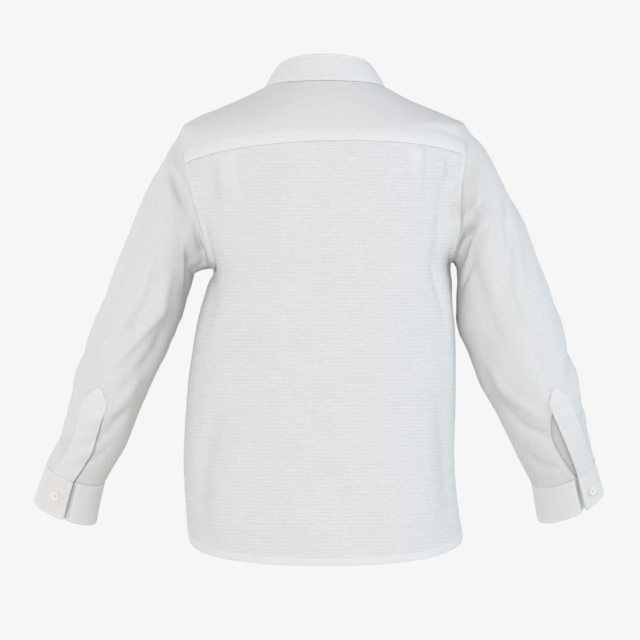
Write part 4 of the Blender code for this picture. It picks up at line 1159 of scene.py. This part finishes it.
# %% Sleeve folds
SECTION_LENGTH = 38.0
TURN_LENGTH = 0.85
LARGE_FOLDS = {
    # section and turn of each point of the path, half width, height
    "left": (
        (0.5, 118, 2.2, 150, 9, 3), (0.7, 142, 2.4, 166, 7, -3.2), (3.4, 60, 5.4, 108, 10, -2.2),
        (5.4, 112, 7.2, 140, 9, 2),
    ),
    "right": (
        (0.9, 84, 1.9, 146, 9, 3.4), (1.3, 104, 2.3, 158, 8, -3.6), (2, 72, 4, 92, 8, -2.2),
        (4.4, 118, 6.6, 150, 10, -2.2),
    ),
}
BACK_FOLDS_OF = {
    # x and z of each point of the path, half width, height
    "left": (
        (164, -100, 156, -116, 146, -136, 6.5, -5.6), (166, -84, 152, -112, 140, -146, 4, 2),
        (137, -152, 135, -172, 131, -196, 4.5, -7), (136, -172, 134, -192, 132, -210, 8, -10),
        (150, -176, 146, -204, 150, -236, 7, -3.6), (168, -208, 178, -250, 228, -306, 5, 4.4),
        (180, -204, 198, -250, 238, -290, 5.5, -3.6), (166, -250, 184, -290, 220, -336, 6, -3.6),
        (212, -150, 226, -190, 240, -240, 9, -2.6), (204, -320, 224, -352, 262, -372, 5.5, 3),
        (214, -352, 240, -384, 270, -398, 5, -3), (232, -392, 252, -412, 276, -420, 4.5, -2.4),
        (290, -372, 298, -392, 304, -412, 4, -1.8),
    ),
    "right": (
        (-182, -132, -166, -144, -154, -164, -144, -192, 4.6, -8),
        (-158, -154, -149, -174, -143, -198, 6, -5.5),
        (-172, -126, -156, -140, -146, -160, -140, -180, 5, 3.4),
        (-192, -140, -178, -166, -166, -204, 6, 3.2),
        (-196, -128, -199, -165, -201, -215, 4.2, -4.2),
        (-206, -150, -209, -190, -214, -240, 6, 2.2), (-160, -196, -172, -236, -188, -280, 6.5, -4),
        (-172, -300, -196, -336, -236, -366, 5.5, 3.2),
        (-190, -346, -216, -374, -246, -388, 5, -3.2),
        (-222, -268, -236, -306, -258, -350, 9, -2.4),
        (-222, -402, -238, -420, -262, -424, 4.5, -2.4),
        (-286, -366, -292, -388, -296, -404, 4, -1.6),
    ),
}
FRONT_FOLDS_OF = {
    "left": (
        (172, -116, 160, -156, 158, -196, 7, -2.2), (186, -130, 188, -176, 196, -220, 8, 1.3),
        (168, -214, 196, -262, 240, -300, 6, -1.5), (176, -250, 208, -300, 248, -330, 6, 1.5),
        (200, -316, 232, -346, 266, -356, 6, -1.3), (216, -360, 246, -386, 278, -394, 5, 1),
        (234, -396, 258, -414, 286, -414, 4, -1),
    ),
    "right": (
        (-172, -112, -158, -150, -154, -194, 7, -2.3), (-188, -126, -192, -170, -198, -216, 8, 1.2),
        (-160, -220, -190, -268, -232, -306, 6, -1.5), (-166, -262, -200, -306, -240, -338, 6, 1.4),
        (-186, -330, -216, -358, -252, -366, 6, -1.3), (-214, -376, -240, -396, -270, -400, 5, 1),
        (-230, -412, -250, -424, -276, -424, 4, -1),
    ),
}
OUTER_FOLDS_OF = {
    # section and turn of each point of the path, half width, height
    "left": (
        (0.7, -42, 1.6, -14, 2.5, 26, 8, -2.6), (1, -8, 2.2, 16, 3.6, 34, 9, 2.2),
        (3.4, -36, 4.2, -10, 5, 30, 9, -2), (5, -44, 5.7, -10, 6.3, 30, 6, -3),
        (5.6, -30, 6.2, 0, 6.8, 42, 6, 2.4), (6.4, -52, 7, -20, 7.5, 22, 5, -2.6),
        (7.5, -34, 7.9, -4, 8.2, 36, 4.5, -2),
    ),
    "right": (
        (0.6, -36, 1.8, -8, 2.8, 20, 8, -2.4), (1.2, -30, 2.6, -2, 3.8, 30, 9, 2),
        (3.8, -40, 4.5, -6, 5.3, 24, 8, -2.4), (5.2, -34, 5.9, -4, 6.5, 36, 6, -2.8),
        (5.7, -46, 6.3, -14, 6.9, 26, 6, 2.2), (6.6, -40, 7.2, -8, 7.6, 30, 5, -2.4),
        (7.6, -28, 8, 4, 8.3, 40, 4.5, -1.8),
    ),
}


def folds_round(place, turn, rows):
    """Folds whose paths are given in section and turn."""
    scale = (SECTION_LENGTH, TURN_LENGTH)
    return folds(place * SECTION_LENGTH, turn * TURN_LENGTH, rows, scale)


def calm_ends(place, above, below):
    """1 along a sleeve and 0 at both its ends, with soft steps so many sections long."""
    return smooth_step(place / above) * smooth_step((LAST_SECTION - place) / below)


def sleeve_relief(name, place, turn, base, normal):
    """All folds of a sleeve, calm at the armhole and at the cuff."""
    height = folds_round(place, np.mod(turn, 360.0), LARGE_FOLDS[name])
    height = height + folds_round(place, np.mod(turn + 180.0, 360.0) - 180.0, OUTER_FOLDS_OF[name])
    x, z = base[..., 0], base[..., 2]
    behind = smooth_step((normal[..., 1] + 0.1) / 0.4)
    ahead = smooth_step((0.1 - normal[..., 1]) / 0.4)
    small = behind * folds(x, z, BACK_FOLDS_OF[name])
    small = small + 2.0 * ahead * folds(x, z, FRONT_FOLDS_OF[name])
    return calm_ends(place, 0.6, 1.0) * height + calm_ends(place, 0.2, 0.5) * small


# %% Sleeves
SLIT_LENGTH = 92.0
SLIT_OPEN_END = 2.6
SLIT_BELLY = 0.8
SLIT_DEGREE = 0.68
GAPE_SINK = 0.37
GAPE_ANGLE = 60.0
GAPE_EASE = 1.5
CAP_TUCK = 1.45
CUFF_TUCK = 1.9
CAP_ROWS, ARM_ROWS, SLIT_ROWS, SLEEVE_COLUMNS = 34, 92, 36, 133
# The cloth under a strip stays calm over this width and height, and so far beyond.
CALM_WIDTH, CALM_HEIGHT, CALM_FADE = 28.0, 122.0, 8.0


def slit_top(arm):
    """The place on a sleeve where its slit ends."""
    return float(place_above_cuff(arm, SLIT_LENGTH))


def slit_gape(arm, place):
    """Degrees that a slit stands open at places down its sleeve."""
    top = slit_top(arm)
    open_share = np.clip((place - top) / (LAST_SECTION - top), 0.0, 1.0)
    lens = np.sin(np.pi * np.minimum(1.0, open_share ** SLIT_BELLY)) ** 1.3
    return (arm["gape"] * lens + SLIT_OPEN_END * open_share) / SLIT_DEGREE


def make_sleeve(name, seed):
    """One sleeve with its underarm seam."""
    arm = ARMS[name]
    top = slit_top(arm)
    by_slit = np.concatenate([np.linspace(0.0, 0.97, SLIT_ROWS), [0.985, 1.0]])
    rows = np.concatenate([
        shares(CAP_ROWS)[:-3], 1.0 + (top - 1.0) * np.linspace(0.0, 1.0, ARM_ROWS)[:-1],
        top + (LAST_SECTION - top) * by_slit])
    joined = int(np.flatnonzero(rows == top)[0]) + 1
    step = np.linspace(0.0, 360.0, SLEEVE_COLUMNS)[None, :]
    place = rows[:, None] + 0.0 * step
    gape = slit_gape(arm, place)
    ease = np.maximum(0.0, 1.0 - step / GAPE_ANGLE) ** GAPE_EASE
    turn = arm["slit_turn"] + step + ease * gape
    base, normal = sleeve_form(arm, place, turn)
    from_cap, from_cuff, from_slit, to_slit = edge_distances(base)
    down = from_cap.mean(axis=1)[:, None] + 0.0 * from_cap
    around = from_slit
    relief = sleeve_relief(name, place, turn, base, normal) - GAPE_SINK * SLIT_DEGREE * ease * gape
    aside = np.minimum(to_slit - CALM_WIDTH, from_slit)
    off_strip = smooth_step(np.maximum(aside, from_cuff - CALM_HEIGHT) / CALM_FADE)
    uneven = swell(around, down, 40.0, seed) + 0.35 * swell(around, down, 16.0, seed + 1)
    relief += calm_ends(place, 0.5, 0.5) * off_strip * uneven
    relief += puckers(from_cap, around, 8.0, 0.28, seed + 2)
    relief += off_strip * puckers(from_cuff, around, 12.0, 0.5, seed + 4)
    seam_side = np.abs(np.mod(turn, 360.0) - 180.0) * 0.75
    relief += -0.5 * np.exp(-(seam_side / 0.9) ** 2) + puckers(seam_side, down, 6.0, 0.25, seed + 6)
    relief += rolled(from_cap, 0.15) + rolled(from_cuff, 0.1)
    _, hole_out, hole_way = armhole_point(arm, turn[0])
    sleeve, outer = cloth_piece(
        name + "_sleeve", "sleeve_" + name, "sleeve_cloth_" + name, plain_cloth,
        base, normal, relief, np.stack([around, down], -1), np.zeros_like(relief), joined, [
            ("first_row", -hole_way, hole_out, CAP_TUCK, TUCK_REACH),
            ("last_row", unit(base[-1] - base[-3]), normal[-1], CUFF_TUCK, TUCK_REACH)])
    print("sleeve", name, "area:", round(cut_area(outer), 4), "width:", from_slit.max())
    return sleeve


left_sleeve = make_sleeve("left", 71)
right_sleeve = make_sleeve("right", 81)

# %% [markdown]
# The other edge of the slit is turned under and bound, and runs on in under the strip. It is what
# shows where the slit gapes, so the inside of the sleeve doesn't.

# %% Slit bindings
BINDING_UNDER = 7.0
BINDING_ROWS, BINDING_COLUMNS = 40, 12


def make_binding(name, seed):
    """The bound edge of a slit, which lies under the strip."""
    arm = ARMS[name]
    heights = (SLIT_LENGTH - 3.0) * shares(BINDING_ROWS)
    places = np.minimum(place_above_cuff(arm, heights), LAST_SECTION - 0.02)
    gape = slit_gape(arm, places)
    near, far = gape + 4.0, -BINDING_UNDER / SLIT_DEGREE
    step = near[:, None] + (far - near)[:, None] * shares(BINDING_COLUMNS)[None, :]
    turn, place = arm["slit_turn"] + step, places[:, None] + 0.0 * step
    base, normal = sleeve_form(arm, place, turn)
    across = walked_along(base, 1)
    relief = sleeve_relief(name, place, turn, base, normal) - arm["binding"]
    relief -= GAPE_SINK * SLIT_DEGREE * gape[:, None]
    relief += 0.2 * swell(across, heights[:, None], 9.0, seed)
    flat = np.stack([across, heights[:, None] + 0.0 * across], -1)
    return cloth_piece(
        "slit_binding_" + name, None, "sleeve_cloth_" + name, plain_cloth,
        base, normal, relief, flat, np.ones_like(relief))[0]


left_binding = make_binding("left", 121)
right_binding = make_binding("right", 123)

# %% [markdown]
# ## Sleeve strips
#
# One edge of the slit is covered by a pointed strip that laps over the other. It is doubled,
# stitched along both sides, and crossed by two short rows where the slit ends.

# %% Sleeve strips
STRIP_CORNER = 104.0
STRIP_TIP = 119.0
STRIP_WIDTH = 26.0
STRIP_POINT = 3.0
STRIP_LIFT = 2.0
SLEEVE_STRIP_STITCH = 2.0
CROSS_ROWS = (SLIT_LENGTH - 4.0, SLIT_LENGTH + 1.0)
BAND_WALL = 1.9
STRIP_ROWS, POINT_ROWS, SLEEVE_STRIP_COLUMNS = 40, 12, 22


def make_sleeve_strip(name, seed):
    """The pointed strip of one sleeve."""
    arm = ARMS[name]
    heights = np.concatenate([
        STRIP_CORNER * shares(STRIP_ROWS)[:-3],
        STRIP_CORNER + (STRIP_TIP - STRIP_CORNER) * shares(POINT_ROWS)])
    places = np.minimum(place_above_cuff(arm, heights), LAST_SECTION)
    beyond = np.maximum(0.0, heights - STRIP_CORNER) / (STRIP_TIP - STRIP_CORNER)
    half = STRIP_WIDTH / 2.0 * (1.0 - beyond) + STRIP_POINT / 2.0 * beyond
    columns = shares(SLEEVE_STRIP_COLUMNS)[None, :] * 2.0 - 1.0
    across = STRIP_WIDTH / 2.0 + half[:, None] * columns
    slit = np.full_like(places, arm["slit_turn"])
    near = sleeve_point(arm, places, slit) - sleeve_point(arm, places, slit - 10.0)
    turn = arm["slit_turn"] - 10.0 * across / np.linalg.norm(near, axis=-1)[:, None]
    place = places[:, None] + 0.0 * turn
    base, normal = sleeve_form(arm, place, turn)
    from_cuff, from_tip, from_slit, from_far = edge_distances(base)
    edge = np.minimum(np.minimum(from_slit, from_far), from_tip)
    relief = STRIP_LIFT + sleeve_relief(name, place, turn, base, normal)
    relief += 0.2 * swell(across, heights[:, None], 12.0, seed)
    relief += puckers(edge, heights[:, None], 4.0, 0.2, seed + 1)
    relief += groove(edge, SLEEVE_STRIP_STITCH) + rolled(edge) + rolled(from_cuff)
    flat = np.stack([across, heights[:, None] + 0.0 * across], -1)
    strip, outer = cloth_piece(
        "sleeve_strip_" + name, "sleeve_placket_" + name, "sleeve_strip_cloth_" + name, plain_cloth,
        base, normal, relief, flat, np.ones_like(relief), thick=BAND_WALL)
    rows = [edge_stitches(outer, normal, edge, SLEEVE_STRIP_STITCH)
            for edge in ("first_column", "last_column")]
    for height in CROSS_ROWS:
        row = int(np.argmin(np.abs(heights - height)))
        rows.append(stitch_row(outer[row, 3:-3], normal[row, 3:-3]))
    stitches = stitch_piece("sleeve_strip_stitches_" + name, "sleeve_strip_cloth_" + name, rows)
    print("sleeve strip", name, "area:", round(cut_area(outer), 4))
    return strip, stitches


left_strip = make_sleeve_strip("left", 91)
right_strip = make_sleeve_strip("right", 95)

# %% [markdown]
# ## Cuffs
#
# A cuff is a doubled band. Its one end runs in under the other, which carries the buttonhole, and
# both edges are stitched. It is a little stiffer than the sleeve, so it keeps a smoother round.

# %% Cuffs
CUFF_UNDERLAP = 32.0
CUFF_SINK = 6.4
CUFF_RISE = 11.0
CUFF_LIFT = 0.6
CUFF_SEAM = 0.2
CUFF_STITCHES = (2.4, 2.8)
CUFF_ROWS, CUFF_COLUMNS = 20, 140


def cuff_point(arm, share, turn):
    """Points of a cuff's form, from its seam at share 0 to its lower edge."""
    seam = sleeve_point(arm, np.full(np.shape(turn), LAST_SECTION), turn)
    last = np.array(LAST_SECTION)
    down = unit(section_frame(arm, last)[0] - section_frame(arm, last - 0.1)[0])
    middle, across, depth = section_sides(arm["cuff_hem"], arm["side"])
    back = unit(np.cross(middle - section_frame(arm, last)[0], across)) * arm["side"]
    angle = np.radians(turn + arm["end_twist"])
    hem = middle + across * np.cos(angle)[..., None] - back * depth * np.sin(angle)[..., None]
    seam = seam + down * CUFF_SEAM
    return seam + (hem - seam) * share[..., None]


def cuff_form(arm, share, turn):
    """Points of a cuff's form and the directions out of it."""
    down = cuff_point(arm, np.ones_like(share), turn) - cuff_point(arm, np.zeros_like(share), turn)
    around = cuff_point(arm, share, turn + 1.0) - cuff_point(arm, share, turn - 1.0)
    return cuff_point(arm, share, turn), unit(np.cross(down, around)) * arm["side"]


def make_cuff(name, seed):
    """One cuff with its stitches."""
    arm = ARMS[name]
    start = arm["slit_turn"] - CUFF_UNDERLAP
    turn = start + (360.0 + CUFF_UNDERLAP) * shares(CUFF_COLUMNS)[None, :]
    share = shares(CUFF_ROWS)[:, None] + 0.0 * turn
    turn = turn + 0.0 * share
    base, normal = cuff_form(arm, share, turn)
    from_seam, from_hem, from_start, from_end = edge_distances(base)
    sink = 1.0 - smooth_step((turn - arm["slit_turn"]) / CUFF_RISE)
    relief = CUFF_LIFT - CUFF_SINK * sink + 0.3 * swell(from_start, from_seam, 24.0, seed)
    relief += puckers(from_seam, from_start, 7.0, 0.25, seed + 1)
    relief += puckers(from_hem, from_start, 5.0, 0.15, seed + 3)
    relief += rolled(from_seam, 0.15) + rolled(from_hem) + rolled(from_end)
    seam_stitch, edge_stitch = CUFF_STITCHES
    relief += groove(from_seam, seam_stitch)
    relief += groove(from_hem, edge_stitch) + groove(from_end, edge_stitch)
    cuff, outer = cloth_piece(
        name + "_cuff", "cuff_" + name, "cuff_cloth_" + name, plain_cloth, base, normal, relief,
        np.stack([from_start, from_seam], -1), np.ones_like(relief), thick=BAND_WALL)
    stitches = stitch_piece("cuff_stitches_" + name, "cuff_cloth_" + name, [
        edge_stitches(outer, normal, "first_row", seam_stitch, 2.0, 2.5),
        edge_stitches(outer, normal, "last_row", edge_stitch, 2.0, 2.5),
        edge_stitches(outer, normal, "last_column", edge_stitch, 2.5, 2.5)])
    print("cuff", name, "area:", round(cut_area(outer), 4), "length:", from_start.max())
    return cuff, stitches


left_cuff = make_cuff("left", 101)
right_cuff = make_cuff("right", 111)

# %% [markdown]
# ## Buttons
#
# The buttons are turned from cream plastic, under ten millimetres across, with a raised rim and
# four holes. One is modelled as by hand: a short cylinder whose top is inset and pressed in, whose
# rim is bevelled and whose holes are cut. Each of the nine is a copy with its own mesh, turned to
# its place.

# %% One button
BUTTON_RADIUS = 4.8
BUTTON_HEIGHT = 2.1
BUTTON_RIM = 1.3
BUTTON_DISH = 0.5
DISH_NARROWING = 0.88
BUTTON_LEDGE = 0.9
BUTTON_ROUND = 0.45
HOLE_RADIUS = 0.75
HOLE_PLACE = 1.35
DRILL_LENGTH = 6.0
HALF_HEIGHT = BUTTON_HEIGHT * MM / 2.0

bpy.ops.object.select_all(action="DESELECT")
bpy.ops.mesh.primitive_cylinder_add(
    vertices=48, radius=BUTTON_RADIUS * MM, depth=BUTTON_HEIGHT * MM,
    location=(0.0, 0.0, HALF_HEIGHT))
button_shape = bpy.context.object
bpy.ops.object.transform_apply(location=True, rotation=False, scale=False)
for face in button_shape.data.polygons:
    face.select = face.normal.z > 0.9
for line in button_shape.data.edges:
    line.select = False
for corner in button_shape.data.vertices:
    corner.select = False
bpy.ops.object.mode_set(mode="EDIT")
bpy.ops.mesh.select_mode(type="FACE")
bpy.ops.mesh.inset(thickness=BUTTON_RIM * MM)
bpy.ops.mesh.extrude_region_move(TRANSFORM_OT_translate={"value": (0.0, 0.0, -BUTTON_DISH * MM)})
bpy.ops.transform.resize(value=(DISH_NARROWING, DISH_NARROWING, 1.0))
bpy.ops.mesh.inset(thickness=BUTTON_LEDGE * MM)
bpy.ops.object.mode_set(mode="OBJECT")
round_off = button_shape.modifiers.new("round_off", "BEVEL")
round_off.width = BUTTON_ROUND * MM
round_off.segments = 3
round_off.limit_method = "ANGLE"
round_off.angle_limit = math.radians(40.0)
bpy.ops.object.modifier_apply(modifier="round_off")
for quarter in range(4):
    turned = math.radians(45.0 + 90.0 * quarter)
    spot = (HOLE_PLACE * MM * math.cos(turned), HOLE_PLACE * MM * math.sin(turned), HALF_HEIGHT)
    bpy.ops.object.select_all(action="DESELECT")
    bpy.ops.mesh.primitive_cylinder_add(
        vertices=16, radius=HOLE_RADIUS * MM, depth=DRILL_LENGTH * MM, location=spot)
    drill = bpy.context.object
    bpy.context.view_layer.objects.active = button_shape
    cut = button_shape.modifiers.new("hole", "BOOLEAN")
    cut.object = drill
    cut.operation = "DIFFERENCE"
    cut.solver = "EXACT"
    bpy.ops.object.modifier_apply(modifier="hole")
    bpy.data.objects.remove(drill, do_unlink=True)
bpy.ops.object.select_all(action="DESELECT")
button_shape.select_set(True)
bpy.ops.object.shade_smooth_by_angle(angle=math.radians(35.0))
button_mesh = button_shape.data
bpy.data.objects.remove(button_shape, do_unlink=True)
print("button faces:", len(button_mesh.polygons))

# %% [markdown]
# The plastic is cream with a darker edge here and there, as a shell button has, and its gloss is
# satin. Thread goes over the button twice, from hole to hole, and down into the cloth.

# %% Button finish
BUTTON_THREAD = 2.6
HOLE_THREAD = 1.5
FINE_THREAD = 0.24

button_material, button_finish, button_shader = new_finish("cream_button", 0.32)
button_place = button_finish.node("ShaderNodeTexCoord", output="Object")
clouds = button_finish.node(
    "ShaderNodeTexNoise", {}, {"Vector": button_place, "Scale": 420.0, "Detail": 3.0})
button_body = button_finish.mix(clouds, (0.81, 0.77, 0.67, 1.0), (0.90, 0.88, 0.82, 1.0))
button_finish.tree.links.new(button_body.socket, button_shader.inputs["Base Color"])
button_finish.tree.links.new((0.26 + clouds * 0.16).socket, button_shader.inputs["Roughness"])
button_shader.inputs["Coat Weight"].default_value = 0.25

button_thread = thread_finish("cream_thread", (0.86, 0.83, 0.75))


def across_of(normal, down):
    """Two directions that lie on a face: one across and one down it."""
    down = unit(down - normal * np.dot(down, normal))
    return np.cross(down, normal), down


def sew_button(name, node, slot, centre, normal, down):
    """A copy of the button at its place, with its thread."""
    across, down = across_of(normal, down)
    turn = Matrix([(across[i], down[i], normal[i]) for i in range(3)]).to_4x4()
    mesh = button_mesh.copy()
    mesh.name = name
    mesh.transform(Matrix.Translation(Vector(centre) * MM) @ turn)
    if turn.determinant() < 0.0:
        mesh.flip_normals()
    add_piece(name, mesh, button_material, slot, node)
    middle = centre + normal * (BUTTON_HEIGHT - BUTTON_DISH + 0.1)
    spots = np.array([
        middle + across * (side * HOLE_PLACE * 0.707 + lane)
        for side in (-1.0, 1.0) for lane in (-0.22, 0.22)])
    ways, ups = np.tile(down, (4, 1)), np.tile(normal, (4, 1))
    grains = thread_grains(spots, ways, ups, BUTTON_THREAD, FINE_THREAD)
    add_piece(name + "_thread", stitch_mesh(name + "_thread", [grains]), button_thread, slot)


def buttonhole(centre, normal, along, length=12.5):
    """Close thread round a slit, as a buttonhole machine sews it."""
    across, along = across_of(normal, along)
    steps = np.arange(-length / 2.0, length / 2.0 + 0.01, 0.42)
    spots, ways = [], []
    for side in (-1.0, 1.0):
        spots.append(centre + along * steps[:, None] + across * side * 0.95)
        ways.append(np.tile(across, (len(steps), 1)))
    for end in (-1.0, 1.0):
        bar = np.arange(-1.4, 1.41, 0.4)
        spots.append(centre + along * end * (length / 2.0 + 0.3) + across * bar[:, None])
        ways.append(np.tile(along, (len(bar), 1)))
    spots, ways = np.concatenate(spots), np.concatenate(ways)
    return thread_grains(spots, ways, np.tile(normal, (len(spots), 1)), HOLE_THREAD, FINE_THREAD)


# %% Buttons in place
CLOTH_THICK = 1.4
FIRST_BUTTON_Z = -88.0
BUTTON_SPACING = 70.0
STRIP_BUTTONS = 6
HOLE_LIFT = 0.1
ACROSS = np.array((1.0, 0.0, 0.0))
DOWN = np.array((0.0, 0.0, -1.0))

middle = np.array([-90.0]), np.array([0.5])
spot, out = (found[0] for found in collar_form(*middle))
sew_button("top_button", "collar_button", "button",
           spot + out * (BAND_THICK + UNDER + SEAM + COLLAR_BULGE), out, DOWN)
hole_rows = [buttonhole(spot + out * (collar_lift(*middle)[0] + HOLE_LIFT), out, ACROSS)]
collar_hole = stitch_piece("collar_buttonhole", "collar_cloth", hole_rows)
hole_rows = []
for index in range(STRIP_BUTTONS):
    height = FIRST_BUTTON_Z - BUTTON_SPACING * index
    steps = np.arange(NECK_RING, HEM_RING, 0.01)
    below = body_point(np.full_like(steps, 270.0), steps)[:, 2] <= height
    at = np.array([steps[np.argmax(below)]])
    middle = front_angle(0.0, at)
    point, out = (found[0] for found in body_form(middle, at))
    number = str(index + 1)
    sew_button("strip_button_" + number, "front_button_" + number, "button",
               point + out * (CLOTH_THICK + UNDER + SEAM), out, DOWN)
    hole_rows.append(buttonhole(point + out * (STRIP_RISE + HOLE_LIFT), out, DOWN))
strip_holes = stitch_piece("button_strip_buttonholes", "front_strip_cloth", hole_rows)
for name, arm in ARMS.items():
    turn = np.array([arm["slit_turn"] - arm["button_turn"]])
    share = np.array([arm["button_share"]])
    point, out = (found[0] for found in cuff_form(arm, share, turn))
    beside = cuff_point(arm, share, turn + 2.0)[0] - point
    below = cuff_point(arm, share + 0.05, turn)[0] - point
    sew_button(name + "_cuff_button", "cuff_button_" + name, "cuff_button_" + name,
               point + out * (CUFF_LIFT + UNDER), out, below)
    stitch_piece(
        "cuff_buttonhole_" + name, "cuff_cloth_" + name,
        [buttonhole(point + out * (CUFF_LIFT + HOLE_LIFT), out, beside)])
